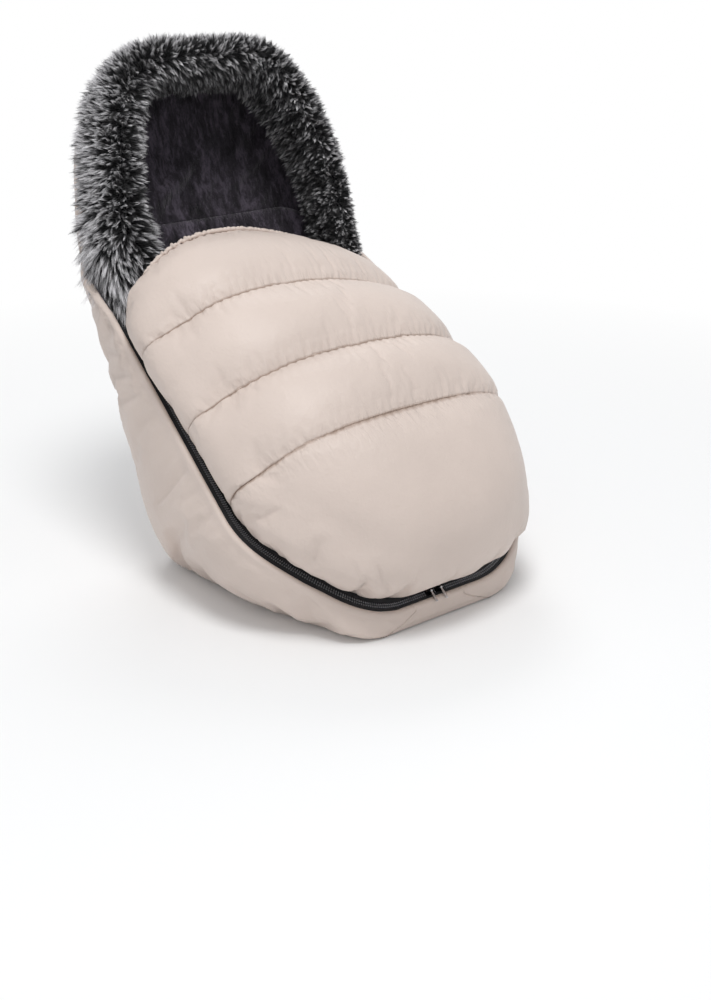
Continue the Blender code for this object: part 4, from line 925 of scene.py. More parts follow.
def quilted(grid, seam_rows, panels, first_crown, slack, gather, pressure, over_zip=False):
    """The outer cloth over a seam-level surface: sewn down at the seams, swollen between them."""
    rows, columns = grid.shape[0] - 1, grid.shape[1] - 1
    normals = surface_normals(grid)
    steps = np.linalg.norm(np.diff(grid, axis=0), axis=-1).mean(axis=1)
    place = np.concatenate([[0], np.cumsum(steps)])
    away = np.min([np.abs(place - place[row]) for row in seam_rows], axis=0)[:, None]
    seams = np.linspace(0, rows, panels + 1)
    panel = np.interp(np.arange(rows + 1), seams, np.arange(panels + 1)) % 1
    swollen = np.sin(math.pi * panel)[:, None]
    fade = side_fade(columns)[None]
    crown = first_crown * swollen * fade - SEAM_SINK * np.exp(-away / 0.0035) * fade
    start = grid + normals * crown[..., None]
    # The thread puckers the seam, so that it wanders up and down its own line
    wander = 0.0011 * ripples(grid * (1, 1, 0.2), 0.015, 45) * np.exp(-away / 0.006) * fade
    wander[[0, -1]] = 0
    start = start + unit(np.gradient(grid, axis=0)) * wander[..., None]
    if over_zip:
        start = overhung(start)
    held = np.zeros(grid.shape[:2])
    held[seam_rows] = 1
    held[:, [0, -1]] = 1
    near = bell(away, 0, 0.015) * np.ones(columns + 1)
    outer = swell(start, held, pressure, slack, (near, gather))
    return above_zip(outer) if over_zip else outer


def ride_with(body):
    return lambda piece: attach(piece, body)


def bend_from_tray(end):
    """Carry a piece by baking its placement into its mesh; it is not bent, and end is not used."""
    return lambda piece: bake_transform(piece)


def fold_with_cover():
    """Carry a piece with the cover by baking its placement; the fold 100 mm above its seam is not
    bent.
    """
    start, end = (on_slope(0.0, s, 0.1) for s in (SEAMS[0], SEAMS[0] + 0.10))
    return bend_from_tray(end)


def build_foot_pocket():
    rows, columns = 64, 180
    grid = row_grid(foot_rows, quilted_shares(rows, 1), columns)
    outer = quilted(grid, [0, rows], 1, 0.004, 0.025, 0.07, 20, over_zip=True)
    padded_pair(("foot_pocket", "foot_pocket_lining"), grid, outer, COVER_DEPTH, (0.62, 0.34),
                (["foot_shell", "foot_wadding"], ["foot_lining"]), ride_with("tray"), "puffed")


def build_cover():
    count, columns = 30, 180
    seam_rows = [0, count, 2 * count, 3 * count]
    grid = row_grid(flap_rows, quilted_shares(count, 3), columns)
    outer = quilted(grid, seam_rows, 3, 0.005, 0.035, 0.14, 32, over_zip=True)
    carry = fold_with_cover()
    quilts = ("shell", "lower_wadding", "middle_wadding", "upper_wadding")
    padded_pair(("quilted_cover", "cover_lining_plush"), grid, outer, COVER_DEPTH, (0.60, 0.36),
                ([f"cover_{word}" for word in quilts], ["cover_lining"]), carry, "quilted")
    normals = surface_normals(grid)
    for number, row in enumerate(seam_rows[:3]):
        line = slumped(outer[row, 3:-3])
        seam_stitches(f"quilting_seam_{number + 1}", line, normals[row, 3:-3], carry)
    build_hem(grid)


def build_hem(grid):
    """The elastic casing along the cover's top edge, bunched into small gathers at one end."""
    normals = surface_normals(grid)
    out = unit(grid[-1] - grid[-2])
    edge = evened(grid[-1] + (out - normals[-1]) * HEM_OFFSET, HEM_STEPS)
    path = slumped(edge[HEM_INSET:-HEM_INSET])
    tangent = unit(np.gradient(path, axis=0))
    first = evened(normals[-1], HEM_STEPS)[HEM_INSET:-HEM_INSET]
    first = unit(first - tangent * np.einsum("ij,ij->i", first, tangent)[:, None])
    second = np.cross(tangent, first)
    share = np.linspace(0, 1, len(path))
    along = share[:, None] * HEM_LENGTH
    bunch = 0.6 + 2.2 * bell(share, 0.24, 0.07)
    gathers = bunch * (0.5 * ripples(along, 0.0085, 3) + 0.4 * ripples(along, 0.019, 4))
    path = path + first * (bunch * 0.0006 * ripples(along, 0.012, 6))[:, None]
    angles = np.linspace(0, 2 * math.pi, 17)[:-1]
    folds = gathers[:, None] * (1 + 0.6 * np.cos(angles + 0.6 * ripples(along, 0.02, 8)[:, None]))
    radius = np.clip(0.0030 + 0.0006 * folds, 0.0016, 0.0058)[..., None]
    rings = path[:, None] + radius * (np.cos(angles)[:, None] * first[:, None]
                                      + np.sin(angles)[:, None] * second[:, None])
    hem = swept_rings("cover_hem", rings, "nylon", HEM_LENGTH)
    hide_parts("cover_collar")
    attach(hem, "cover")


def build_tray():
    rows, columns = 104, 156
    grid = evened_grid(tray_rows(rows), columns)
    grid[..., 2] = np.maximum(grid[..., 2], 0.0)
    normals = surface_normals(grid)
    # The grid's two corners on the rim take their neighbours' direction
    for columns_there, column, end in ((slice(0, 4), 4, 0), (slice(-4, None), -5, -1)):
        normals[0:4, columns_there] = unit(normals[0, column] + normals[4, end])
    half = np.abs(grid[..., 0]).max(axis=1, keepdims=True)
    off_seam = np.abs(np.abs(grid[..., 0]) - TRAY_FLAT * half)
    side_seam = off_seam <= off_seam.min(axis=1, keepdims=True) + 0.0012
    flat = np.abs(grid[..., 0]) < TRAY_FLAT * half
    laid = (grid[..., 2] < 0.006) | (flat & (grid[..., 1] > 0.09))
    held = (side_seam | laid).astype(float)
    held[[0, -1]] = 1
    held[:, [0, 1, -2, -1]] = 1
    sunk = np.where(side_seam & ~laid, SEAM_SINK * 0.35, 0)
    start = grid - normals * sunk[..., None]
    outer = swell(start, held, 4.5, 0.035)
    # The toe's face stays almost as flat as it was cut
    calm = np.exp(-(grid[..., 1] - grid[..., 1].min()) / 0.025)
    outer = mix(outer, start, 0.75 * calm[..., None])
    outer[..., 2] = np.maximum(outer[..., 2], 0.0)
    seat = TRAY_DEPTH - LINING
    # The lining rolls up into a soft edge below the crease
    roll = bell(np.arange(rows + 1)[::-1], 5, 4.0)[:, None] * side_fade(columns)[None] * 0.006
    layers = [outer, grid - normals * (seat - LAYER_GAP), grid - normals * seat,
              grid - normals * (TRAY_DEPTH + roll)[..., None]]
    # At the toe and round its corners the wall's top lies in the zip's slope, not level
    place = slope_places(grid)
    side = np.minimum(np.arange(columns + 1), np.arange(columns + 1)[::-1])
    close = np.maximum(faded(np.arange(rows + 1)[:, None], 9), faded(side, 8)[None])
    close = close * np.clip((ZIP_CORNER + 0.04 - place[1]) / 0.04, 0, 1)
    for layer in layers[1:]:
        short = place[2] - slope_places(layer)[2]
        layer[..., 2] += np.maximum(short, 0) / math.cos(SLOPE) * close
    layers = [slumped(layer) for layer in layers]
    made = finishes()
    cloth_size = (0.62, 0.95)
    body = closed_cloth("tray_padded_wall", *layers[:2], cloth_size, [made["nylon"]], 0.0042)
    # The seat's lining takes the plush with painted light, paler on its upward face.
    lining = closed_cloth("tray_plush_lining", *layers[2:], cloth_size, [made["seat_plush"]])
    cutters = slot_cutters()
    for piece in (body, lining):
        cut_slots(piece, cutters)
    for cutter in cutters:
        bpy.data.objects.remove(cutter, do_unlink=True)
    panels = [f"tray_{word}_{layer}" for word in ("base", "back", "left", "right")
              for layer in ("shell", "wadding")]
    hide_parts(*panels)
    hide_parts("tray_lining")
    carry = ride_with("tray")
    for piece in (body, lining):
        carry(piece)
    for word, sign in (("left", -1), ("right", 1)):
        seam = np.where(np.sign(grid[..., 0]) == sign, off_seam, 1).argmin(axis=1)[6:-2]
        rows_used = np.arange(rows + 1)[6:-2]
        line = layers[0][rows_used, seam] + normals[rows_used, seam] * 0.0004
        line[:, 2] = np.maximum(line[:, 2], 0.0006)
        seam_stitches(f"tray_seam_{word}", line, normals[rows_used, seam], carry)
    build_slot_bindings()


def build_slot_bindings():
    """Bound edges round the three slots, a little inside their cut."""
    names = ("shoulder_slot_binding_left", "shoulder_slot_binding_right", "crotch_slot_binding")
    for name, (place, wall) in zip(names, slot_places()):
        loop = np.array([(x, y, 0.0) for x, y in stadium_loop(0.0510, 0.0130, 12)])
        out = loop.copy()
        out[:, 0] = np.sign(loop[:, 0]) * np.maximum(0, np.abs(loop[:, 0]) - 0.019)
        out = unit(out)
        angles = np.linspace(0, 2 * math.pi, 13)[:-1]
        heights = wall / 2 * np.sign(np.sin(angles)) * np.abs(np.sin(angles)) ** 0.3
        rings = loop[:, None] + out[:, None] * (0.0005 * np.cos(angles))[:, None]
        rings = rings + heights[:, None] * (0, 0, 1)
        rings = np.concatenate([rings, rings[:1]])
        piece = swept_rings(name.replace("binding", "edge"), rings, "tape", 0.13, closed=True)
        piece.data.transform(place)
        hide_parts(name)
        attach(piece, "tray")


def build_hood():
    rows, columns = 60, 150
    grid = row_grid(hood_rows, quilted_shares(rows, 1), columns)
    outer = quilted(grid, [0, rows], 1, 0.0, 0.012, 0.03, 1.5)
    share = np.linspace(0, 1, rows + 1)[:, None]
    fade = side_fade(columns)[None]
    # Slack folds of the plush, slanting across the back of the hood
    slant = np.stack([grid[..., 2] * 0.9 - grid[..., 0] * 0.62, grid[..., 0] * 0.16], -1)
    folds = 0.0050 * np.maximum(ripples(slant, 0.044, 91), -0.4)
    folds = folds + 0.0012 * ripples(slant * (1, 2), 0.019, 92)
    folds = np.maximum(folds * fade * np.sin(math.pi * share) ** 0.5 + 0.001, 0.0)
    carry = bend_from_tray(CREASE + split_normal() * 0.05)
    padded_pair(("hood_padded_wall", "hood_plush_lining"), grid, outer, HOOD_WALL, (0.62, 0.30),
                (["hood_shell", "hood_wadding"], ["hood_lining"]), carry, folds=folds)


def arch_line(count):
    """The fur arch's middle line, its rise, and the ways along it and out from it."""
    wide, deep = boxed(FUR_FLAT, FUR_POWER)
    x = np.concatenate([-wide[:0:-1], wide]) * FUR_HALF_WIDTH
    rise = np.concatenate([deep[:0:-1], deep])
    line = fur_point(x, rise, 0.0)
    steps = np.concatenate([[0], np.cumsum(np.linalg.norm(np.diff(line, axis=0), axis=1))])
    rise = np.interp(np.linspace(0, steps[-1], count + 1), steps, rise)
    path = evened(line, count)
    tangent = unit(np.gradient(path, axis=0))
    return path, rise, tangent, unit(np.cross(LEAN_BACK, tangent))


def rounded(value, power=0.6):
    return np.sign(value) * np.abs(value) ** power


def arch_surface(path, rise, radial, angle, grow=0.0):
    """A point of the fur band's skin: round a flattened section, and skewed at the feet."""
    back = (FUR_DEPTH / 2 + grow) * rounded(np.cos(angle))
    out = (FUR_THICKNESS / 2 + grow) * rounded(np.sin(angle))
    skew = FUR_SKEW * back * (1 - rise) ** 2
    return path + radial * out[..., None] + LEAN_BACK * back[..., None] + LEAN_UP * skew[..., None]


def build_fur():
    path, rise, _, radial = arch_line(160)
    angles = np.linspace(0, 2 * math.pi, 25)[:-1]
    rings = [arch_surface(path, rise, radial, np.full(len(path), a), -0.0015) for a in angles]
    core = swept_rings("fur_under_pile", slumped(np.stack(rings, 1)), "pile", 0.9)
    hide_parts("fur_trim")
    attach(core, "hood")
    finish_nodes([("fur_backing", "pile")])
    count = 6
    for k in range(count):
        hair = fur_length(f"fur_hair_{k + 1}", k / count, (k + 1) / count, 100 + k)
        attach(hair, "hood")


def section_angle(share):
    """Angles round the band's section at even shares of its outline, from the hood's side."""
    angle = np.linspace(0, 2 * math.pi, 721)
    outline = np.stack([FUR_DEPTH * rounded(np.cos(angle)),
                        FUR_THICKNESS * rounded(np.sin(angle))], -1)
    steps = np.concatenate([[0], np.cumsum(np.linalg.norm(np.diff(outline, axis=0), axis=1))])
    return np.interp(share, steps / steps[-1], angle)


def fur_skin(place, share):
    """Points on the fur band's skin, and the way that its pile stands there."""
    count = 400
    path, rise, tangent, radial = arch_line(count)
    at = np.clip(place, 0, 1) * count
    k = np.minimum(at.astype(int), count - 1)
    part = at - k
    here = mix(path[k], path[k + 1], part[:, None])
    lift = mix(rise[k], rise[k + 1], part)
    out = unit(mix(radial[k], radial[k + 1], part[:, None]))
    angle = section_angle(share)
    skin = slumped(arch_surface(here, lift, out, angle, -0.001))
    here = slumped(here)
    steep = rounded(np.cos(angle), 0.5) / FUR_DEPTH
    flat = rounded(np.sin(angle), 0.5) / FUR_THICKNESS
    stand = unit(LEAN_BACK * steep[:, None] + out * flat[:, None])
    stand = stand + 0.45 * (LEAN_BACK * np.cos(angle)[:, None] + out * np.sin(angle)[:, None])
    # The pile turns out over the band's two ends
    over = np.clip(place, None, 0) + np.clip(place - 1, 0, None)
    skin = here + (skin - here) * (1 - np.minimum(np.abs(over) * 12, 0.95))[:, None]
    stand = stand + np.sign(over)[:, None] * tangent[k] * (1 + np.abs(over) * 14)[:, None]
    return skin, unit(stand)


def one_hair():
    """A single tapered hair: two quads and a tip, as places across and along, and their faces."""
    bm = bmesh.new()
    bmesh.ops.create_grid(bm, x_segments=1, y_segments=3, size=0.5)
    top = [v for v in bm.verts if v.co.y > 0.49]
    bmesh.ops.pointmerge(bm, verts=top, merge_co=(0, 0.5, 0))
    bm.verts.ensure_lookup_table()
    places = np.array([(v.co.x, v.co.y + 0.5) for v in bm.verts])
    faces = [[v.index for v in face.verts] for face in bm.faces]
    bm.free()
    return places, faces


def lock_lean(centre):
    """Neighbouring locks lean together."""
    return sum(np.stack([ripples(centre, wavelength, seed + axis) for axis in range(3)], -1) * most
               for wavelength, seed, most in ((0.016, 200, 0.14), (0.060, 210, 0.13)))


def lock_reach(centre, place, share, left_foot):
    """How long the locks are, as shares: longest on the arch's left side and at its left foot."""
    side = np.clip(centre[:, 0] / 0.15, -1, 1) * np.clip(-np.sin(section_angle(share)), 0, 1)
    outside = 1 - np.where(side > 0, 0.24, 0.34) * side
    right_foot = np.clip((centre[:, 0] - 0.05) / 0.08, 0, 1) * np.clip((place - 0.72) / 0.2, 0, 1)
    return outside * (1 - 0.35 * right_foot) * (1 + 0.80 * left_foot)


def lock_shares(random, place, share, strands):
    """How pale the locks are, 0 to 1: outer side paler with painted light, the arch's inside darker.
    """
    if strands == 1:
        return np.clip(0.94 - (1 - random.uniform(0, 1, len(place))) ** 1.6, 0, 1)
    turn = -np.sin(section_angle(share))
    # Painted light: the outer side's locks are paler, most towards the left end.
    painted_outer_light = 0.34 * np.clip(turn, 0, 1) ** 2 * np.clip(1.3 - place * 1.6, 0.2, 1)
    under_arch = 0.24 * np.clip(-turn, 0, 1) * np.clip((place - 0.25) / 0.1, 0, 1)
    shares = random.uniform(0, 1, len(place)) ** 0.6
    return np.clip(shares - 0.06 + painted_outer_light - under_arch, 0, 1)


def fur_length(name, low, high, seed):
    """One length of the arch's hair: frosted locks that meet at their tips, over dark hair."""
    sizes = bpy.context.scene.bunting_sizes
    count = sizes.hair_count // 1
    random = np.random.default_rng(seed)
    low_end, high_end = low - (0.035 if low < 0.01 else 0), high + (0.035 if high > 0.99 else 0)
    guard = round(count * GUARD_SHARE / LOCK_HAIRS)
    made = []
    for locks, strands, spread, lengths, tints in (
            (guard, LOCK_HAIRS, 0.0026, (0.80, 1.15), (0.1, 1.0)),
            (count - guard * LOCK_HAIRS, 1, 0.0, (0.55, 0.85), (0.0, 0.2))):
        place = random.uniform(low_end, high_end, locks)
        share = random.uniform(0.05, 0.95, locks)
        centre, stand = fur_skin(place, share)
        stand = unit(stand + lock_lean(centre) + random.normal(0, 0.10, (locks, 3)) + (0, 0, -0.10))
        left_foot = np.clip((0.15 - place) / 0.12, 0, 1)
        reach = sizes.hair_length * random.uniform(*lengths, locks)
        reach = reach * lock_reach(centre, place, share, left_foot)
        stand = unit(stand + left_foot[:, None] * (0.55, -0.45, -0.30))
        tip = centre + (stand + (0, 0, -0.12)) * reach[:, None]
        lock = np.repeat(np.arange(locks), strands)
        total = len(lock)
        root, way = centre, stand
        if strands > 1:
            root, way = fur_skin(place[lock] + random.normal(0, 1, total) * spread / 0.9,
                                 share[lock] + random.normal(0, 1, total) * spread / 0.2)
        length = reach[lock] * random.uniform(0.86, 1.05, total)
        end = tip[lock] + random.normal(0, 0.00045 if strands > 1 else 0.0, (total, 3))
        end = end + (length - reach[lock])[:, None] * stand[lock]
        elbow = mix(root + way * (length * 0.55)[:, None], mix(root, end, 0.55), 0.55)
        width = random.uniform(0.00050, 0.00085, total)
        shares = lock_shares(random, place, share, strands)
        tint = mix(*tints, shares)[lock] + random.normal(0, 0.05, total)
        made.append((root, elbow, end, width, np.clip(tint, 0, 1)))
    root, elbow, end, width, tint = (np.concatenate(parts) for parts in zip(*made))
    across = unit(np.cross(end - root, random.normal(size=root.shape)))
    places, faces = one_hair()
    verts = np.empty((len(root), len(places), 3))
    for i, (x, y) in enumerate(places):
        curve = (1 - y) ** 2 * root + 2 * y * (1 - y) * elbow + y**2 * end
        verts[:, i] = curve + across * (width * x * (1 - 0.35 * y))[:, None]
    return strands_object(name, verts, places, faces, tint)


def strands_object(name, verts, places, faces, tint):
    count, size = verts.shape[:2]
    loops = np.concatenate(faces)
    offsets = np.arange(count)[:, None] * size
    indices = (loops[None] + offsets).reshape(-1)
    totals = np.tile([len(f) for f in faces], count)
    starts = np.concatenate([[0], np.cumsum(totals)[:-1]])
    mesh = bpy.data.meshes.new(name)
    mesh.vertices.add(count * size)
    mesh.vertices.foreach_set("co", verts.reshape(-1).astype(np.float32))
    mesh.loops.add(len(indices))
    mesh.loops.foreach_set("vertex_index", indices.astype(np.int32))
    mesh.polygons.add(len(totals))
    mesh.polygons.foreach_set("loop_start", starts.astype(np.int32))
    mesh.update(calc_edges=True)
    layer = mesh.uv_layers.new(name="UVMap")
    uv = np.stack([np.repeat(tint, len(loops)), np.tile(places[loops, 1], count)], -1)
    layer.data.foreach_set("uv", uv.reshape(-1).astype(np.float32))
    mesh.shade_smooth()
    mesh.materials.append(finishes()["fur"])
    made = bpy.data.objects.new(name, mesh)
    bpy.context.scene.collection.objects.link(made)
    return made


# Zip


def zip_line(low, high, spacing):
    """Evenly spaced points of the zip's middle line between two places, with outward directions.
    Places count from the middle of the feet: negative to the left, in metres along the zip."""
    turn = np.linspace(0, math.pi / 2, 200)
    half = ZIP_HALF_WIDTH - ZIP_STRAIGHT
    x = np.concatenate([[0], ZIP_STRAIGHT + half * np.sin(turn), [ZIP_HALF_WIDTH]])
    s = np.concatenate([[0], ZIP_CORNER * (1 - np.cos(turn)), [0.6]])
    steps = np.concatenate([[0], np.cumsum(np.hypot(np.diff(x), np.diff(s)))])
    at = np.linspace(low, high, max(2, round((high - low) / spacing) + 1))
    px = np.sign(at) * np.interp(np.abs(at), steps, x)
    ps = np.interp(np.abs(at), steps, s)
    tx, ts = np.gradient(px), np.gradient(ps)
    size = np.hypot(tx, ts)
    return px, ps, ts / size, -tx / size, at


def zip_reach(s):
    """How far along the zip, from the middle of the feet, a place on its side lies."""
    turn = np.linspace(0, math.pi / 2, 400)
    half = ZIP_HALF_WIDTH - ZIP_STRAIGHT
    x, y = half * np.sin(turn), ZIP_CORNER * (1 - np.cos(turn))
    return ZIP_STRAIGHT + np.hypot(np.diff(x), np.diff(y)).sum() + s - ZIP_CORNER


def zip_half(name, low, high, sign, width, node, carry):
    """One zip tape with its coil: a woven strip and a row of hooked teeth on its edge."""
    x, s, ox, os, _ = zip_line(low, high, 0.004)
    section = ((0.0012, 0.0), (width, 0.0), (width, 0.0010), (width * 0.5, 0.0012),
               (0.0012, 0.0011))
    rings = [on_slope(x + sign * ox * d, s + sign * os * d, n) for d, n in section]
    tape = swept_rings(name, slumped(np.stack(rings, axis=1)), "tape", abs(high - low))
    teeth = zip_teeth(name + "_teeth", low, high, sign)
    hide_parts(node)
    for piece in (tape, teeth):
        carry(piece)


def zip_teeth(name, low, high, sign):
    """The coil's loops along one tape, each reaching just over the zip's middle."""
    pitch = bpy.context.scene.bunting_sizes.tooth_pitch
    x, s, ox, os, _ = zip_line(low + pitch / 2, high - pitch / 2, pitch)
    size = Matrix.Diagonal((0.0027, pitch * 0.40, 0.0022, 1))
    bm = bmesh.new()
    for k in range(len(x)):
        out = (ACROSS * ox[k] + UP_SLOPE * os[k]) * sign
        along = np.cross(OFF_SLOPE, out)
        centre = on_slope(x[k] + sign * ox[k] * 0.0015, s[k] + sign * os[k] * 0.0015, 0.0016)
        turn = Matrix((out, along, OFF_SLOPE)).transposed().to_4x4()
        cube = bmesh.ops.create_cube(bm, size=1, matrix=Matrix.Translation(centre) @ turn @ size)
        for v in cube["verts"]:
            if (v.co - Vector(centre)).dot(Vector(OFF_SLOPE)) > 0:
                v.co = Vector(centre) + (v.co - Vector(centre)) * 0.8
    for v, place in zip(bm.verts, slumped(np.array([v.co for v in bm.verts]))):
        v.co = place
    bmesh.ops.recalc_face_normals(bm, faces=bm.faces[:])
    return object_from(name, bm, [finishes()["coil"]])


def build_zip():
    seam, end, top = (zip_reach(s) for s in (SEAMS[0], ZIP_LENGTH, TOP_SIDE))
    still, bend = ride_with("tray"), fold_with_cover()
    part = seam + 0.0003
    for word, low, high, sign, width, node, carry in (
            ("tray_half", -end, end, 1, TRAY_TAPE, "tray", still),
            ("foot_half", -seam, seam, -1, COVER_TAPE, "foot", still),
            ("cover_half_right", part, top, -1, COVER_TAPE, "cover_right", bend),
            ("cover_half_left", -top, -part, -1, COVER_TAPE, "cover_left", bend)):
        zip_half(f"zip_{word}", low, high, sign, width, f"zip_tape_{node}", carry)


def finish_nodes(pairs):
    """Give the frame's own pieces their finishes."""
    for name, finish in pairs:
        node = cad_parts[name]
        node.data.materials.clear()
        node.data.materials.append(finishes()[finish])


def build_sliders():
    finish_nodes([("zip_slider_left", "enamel"), ("zip_slider_right", "enamel"),
                  ("zip_pull_left", "nickel"), ("zip_pull_right", "nickel")])


def back_place(x, height, off):
    """A place on the back with X to the wearer's left, Y up the back and Z outwards."""
    y = CREASE[1] - (CREASE[2] - height) / math.tan(BACK_SLOPE)
    turn = Matrix((-ACROSS, BACK_UP, BACK_OUT)).transposed().to_4x4()
    return Matrix.Translation(np.array([x, y, height]) + BACK_OUT * off) @ turn


def flat_cloth(node, length, width, thickness, place, finish, name):
    """A strip or patch of thick cloth on the back, for one of the frame's own."""
    bm = bmesh.new()
    bmesh.ops.create_grid(bm, x_segments=max(2, round(length / 0.004)),
                          y_segments=max(2, round(width / 0.004)), size=1)
    bmesh.ops.scale(bm, vec=(length / 2, width / 2, 1), verts=bm.verts[:])
    uv = bm.loops.layers.uv.new("UVMap")
    for face in bm.faces:
        for loop in face.loops:
            loop[uv].uv = (loop.vert.co.y, loop.vert.co.x)
    bmesh.ops.solidify(bm, geom=bm.faces[:], thickness=-thickness)
    bmesh.ops.recalc_face_normals(bm, faces=bm.faces[:])
    bmesh.ops.transform(bm, matrix=place, verts=bm.verts[:])
    piece = object_from(name, bm, [finishes()[finish]])
    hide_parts(node)
    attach(piece, "tray")


def build_back():
    """Strap, buckle and grip patch behind the bag."""
    for word, side in (("left", -1), ("right", 1)):
        middle = side * (STRAP_INNER + STRAP_OUTER) / 2
        place = back_place(middle, STRAP_HEIGHT, 0.0004)
        flat_cloth(f"strap_{word}", STRAP_OUTER - STRAP_INNER, STRAP_WIDTH, 0.0012, place,
                   "webbing", f"back_strap_{word}")
    flat_cloth("back_grip_patch", 0.170, 0.075, 0.0009, back_place(0, 0.135, 0.0004), "grip",
               "grip_felt_patch")
    finish_nodes((name, "acetal") for name in ("buckle_socket", "buckle_plug", "strap_adjuster"))


# Stage


def area_light(name, place, aim, size, power):
    data = bpy.data.lights.new(name, "AREA")
    data.shape = "DISK"
    data.size = size
    data.energy = power
    made = bpy.data.objects.new(name, data)
    made.location = place
    made.rotation_euler = (Vector(aim) - Vector(place)).to_track_quat("-Z", "Y").to_euler()
    bpy.context.scene.collection.objects.link(made)


def build_stage():
    scene = bpy.context.scene
    bm = bmesh.new()
    bmesh.ops.create_circle(bm, cap_ends=True, segments=96, radius=6.0)
    object_from("studio_floor", bm, [floor_paint()])
    world = bpy.data.worlds.new("studio_white")
    world.use_nodes = True
    tree = world.node_tree
    tree.nodes.clear()
    rays = add(tree, "ShaderNodeLightPath")
    seen = rays.outputs["Is Camera Ray"]
    for ray in ("Is Glossy Ray", "Is Transmission Ray"):
        seen = add(tree, "ShaderNodeMath", {0: seen, 1: rays.outputs[ray]},
                   operation="MAXIMUM").outputs["Value"]
    white = add(tree, "ShaderNodeBackground", {"Color": grey(1), "Strength": 1.0})
    soft = add(tree, "ShaderNodeBackground", {"Color": (0.96, 0.98, 1, 1), "Strength": 0.58})
    both = add(tree, "ShaderNodeMixShader",
               {0: seen, 1: soft.outputs["Background"], 2: white.outputs["Background"]})
    add(tree, "ShaderNodeOutputWorld", {"Surface": both.outputs["Shader"]})
    scene.world = world
    area_light("key_softbox", (-0.5, -0.8, 2.8), (0, 0, 0.3), 1.0, 37.5)
    area_light("fill_softbox", (-1.6, -1.6, 1.2), (0, 0, 0.3), 1.6, 5)
    area_light("rim_softbox", (0.9, 1.5, 2.2), (0, 0, 0.4), 1.2, 14)
    scene.view_settings.view_transform = "Standard"
    data = bpy.data.cameras.new("photo_camera")
    data.lens = 52.56
    data.clip_start, data.clip_end = 0.05, 50
    camera = bpy.data.objects.new("photo_camera", data)
    pitch, turn = math.radians(22.5), math.radians(-38.8)
    camera.rotation_euler = (math.pi / 2 - pitch, 0, turn)
    camera.location = (-1.1112, -1.48795, 0.8420)
    scene.collection.objects.link(camera)
    scene.camera = camera


def floor_paint():
    """Matt white studio floor, which fades into the white behind it."""
    made, tree, shader, place = new_material("matt_studio_vinyl", 0.9, Specular_IOR_Level=0.1)
    shader.inputs["Base Color"].default_value = linear("#F1F1F1")
    away = add(tree, "ShaderNodeVectorMath", {0: place}, operation="LENGTH")
    far = add(tree, "ShaderNodeMapRange",
              {"Value": away.outputs["Value"], "From Min": 0.45, "From Max": 1.5})
    rays = add(tree, "ShaderNodeLightPath")
    fade = add(tree, "ShaderNodeMath", {0: far.outputs["Result"], 1: rays.outputs["Is Camera Ray"]},
               operation="MULTIPLY")
    glow = add(tree, "ShaderNodeEmission", {"Color": grey(1), "Strength": 1.0})
    both = add(tree, "ShaderNodeMixShader", {0: fade.outputs["Value"], 1: shader.outputs["BSDF"],
                                             2: glow.outputs["Emission"]})
    tree.links.new(both.outputs["Shader"], tree.nodes["Material Output"].inputs["Surface"])
    return made


class BUNTING_OT_stage(bpy.types.Operator):
    """Build the floor, the lights and the camera"""

    bl_idname = "bunting.stage"
    bl_label = "Stage"
    bl_options = {"REGISTER", "UNDO"}

    def execute(self, context):
        build_stage()
        return {"FINISHED"}


class BUNTING_OT_tray(bpy.types.Operator):
    """Build the padded tray with its slots"""

    bl_idname = "bunting.tray"
    bl_label = "Tray"
    bl_options = {"REGISTER", "UNDO"}

    def execute(self, context):
        build_tray()
        return {"FINISHED"}


class BUNTING_OT_foot_pocket(bpy.types.Operator):
    """Build the fixed pocket over the feet"""

    bl_idname = "bunting.foot_pocket"
    bl_label = "Foot pocket"
    bl_options = {"REGISTER", "UNDO"}

    def execute(self, context):
        build_foot_pocket()
        return {"FINISHED"}


class BUNTING_OT_cover(bpy.types.Operator):
    """Build the quilted cover and its gathered hem"""

    bl_idname = "bunting.cover"
    bl_label = "Cover"
    bl_options = {"REGISTER", "UNDO"}

    def execute(self, context):
        build_cover()
        return {"FINISHED"}


class BUNTING_OT_hood(bpy.types.Operator):
    """Build the padded hood"""

    bl_idname = "bunting.hood"
    bl_label = "Hood"
    bl_options = {"REGISTER", "UNDO"}

    def execute(self, context):
        build_hood()
        return {"FINISHED"}


class BUNTING_OT_fur(bpy.types.Operator):
    """Build the fur arch and its hair"""

    bl_idname = "bunting.fur"
    bl_label = "Fur trim"
    bl_options = {"REGISTER", "UNDO"}

    def execute(self, context):
        build_fur()
        return {"FINISHED"}


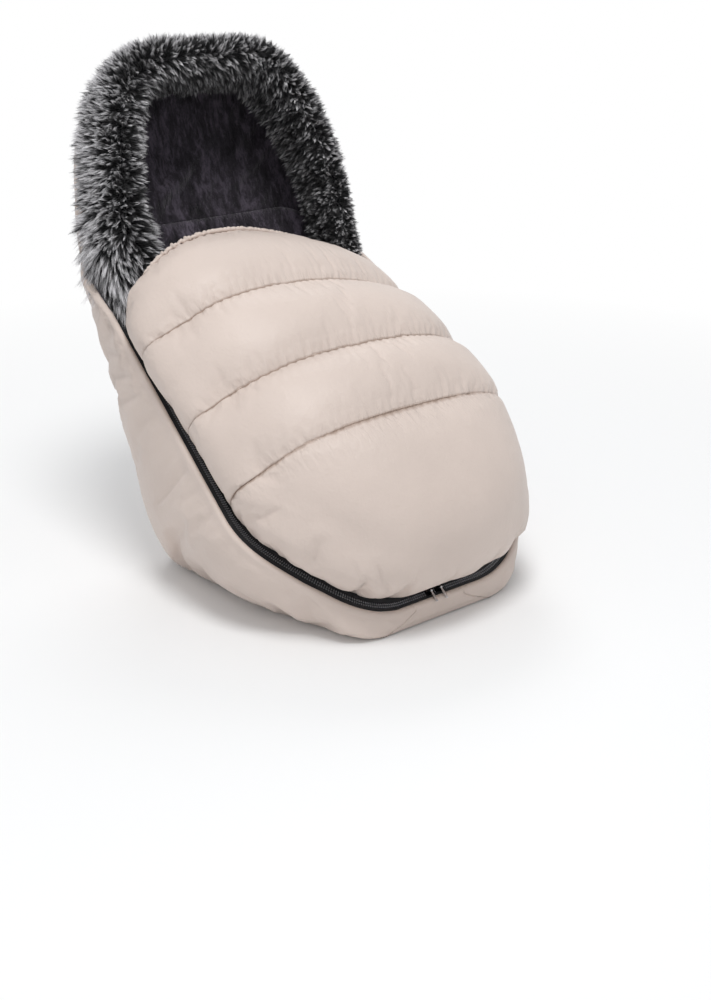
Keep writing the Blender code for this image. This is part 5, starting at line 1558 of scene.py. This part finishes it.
class BUNTING_OT_zip(bpy.types.Operator):
    """Build the zip's tapes and teeth"""

    bl_idname = "bunting.zip"
    bl_label = "Zip"
    bl_options = {"REGISTER", "UNDO"}

    def execute(self, context):
        build_zip()
        return {"FINISHED"}


class BUNTING_OT_sliders(bpy.types.Operator):
    """Finish the sliders and pulls"""

    bl_idname = "bunting.sliders"
    bl_label = "Sliders"
    bl_options = {"REGISTER", "UNDO"}

    def execute(self, context):
        build_sliders()
        return {"FINISHED"}


class BUNTING_OT_back(bpy.types.Operator):
    """Build the strap, buckle and grip patch"""

    bl_idname = "bunting.back"
    bl_label = "Back"
    bl_options = {"REGISTER", "UNDO"}

    def execute(self, context):
        build_back()
        return {"FINISHED"}


STEPS = [
    BUNTING_OT_stage, BUNTING_OT_tray, BUNTING_OT_foot_pocket, BUNTING_OT_cover, BUNTING_OT_hood,
    BUNTING_OT_fur, BUNTING_OT_zip, BUNTING_OT_sliders, BUNTING_OT_back,
]


class BUNTING_PT_panel(bpy.types.Panel):
    """Lists the bag's pieces in the sidebar"""

    bl_label = "Bunting Bag"
    bl_idname = "BUNTING_PT_panel"
    bl_space_type = "VIEW_3D"
    bl_region_type = "UI"
    bl_category = "Bunting Bag"

    def draw(self, context):
        for name in ("hair_length", "hair_count", "tooth_pitch"):
            self.layout.prop(context.scene.bunting_sizes, name)
        for name in ("nylon", "plush", "fur_root", "fur_tip", "black"):
            self.layout.prop(context.scene.bunting_colours, name)
        for step in STEPS:
            self.layout.operator(step.bl_idname)


CLASSES = [BuntingSizes, BuntingColours, *STEPS, BUNTING_PT_panel]


def register():
    for item in CLASSES:
        bpy.utils.register_class(item)
    bpy.types.Scene.bunting_sizes = bpy.props.PointerProperty(type=BuntingSizes)
    bpy.types.Scene.bunting_colours = bpy.props.PointerProperty(type=BuntingColours)


def unregister():
    del bpy.types.Scene.bunting_colours
    del bpy.types.Scene.bunting_sizes
    for item in reversed(CLASSES):
        bpy.utils.unregister_class(item)


def main():
    register()
    for step in STEPS:
        getattr(bpy.ops.bunting, step.bl_idname.split(".")[1])()


if __name__ == "__main__":
    main()
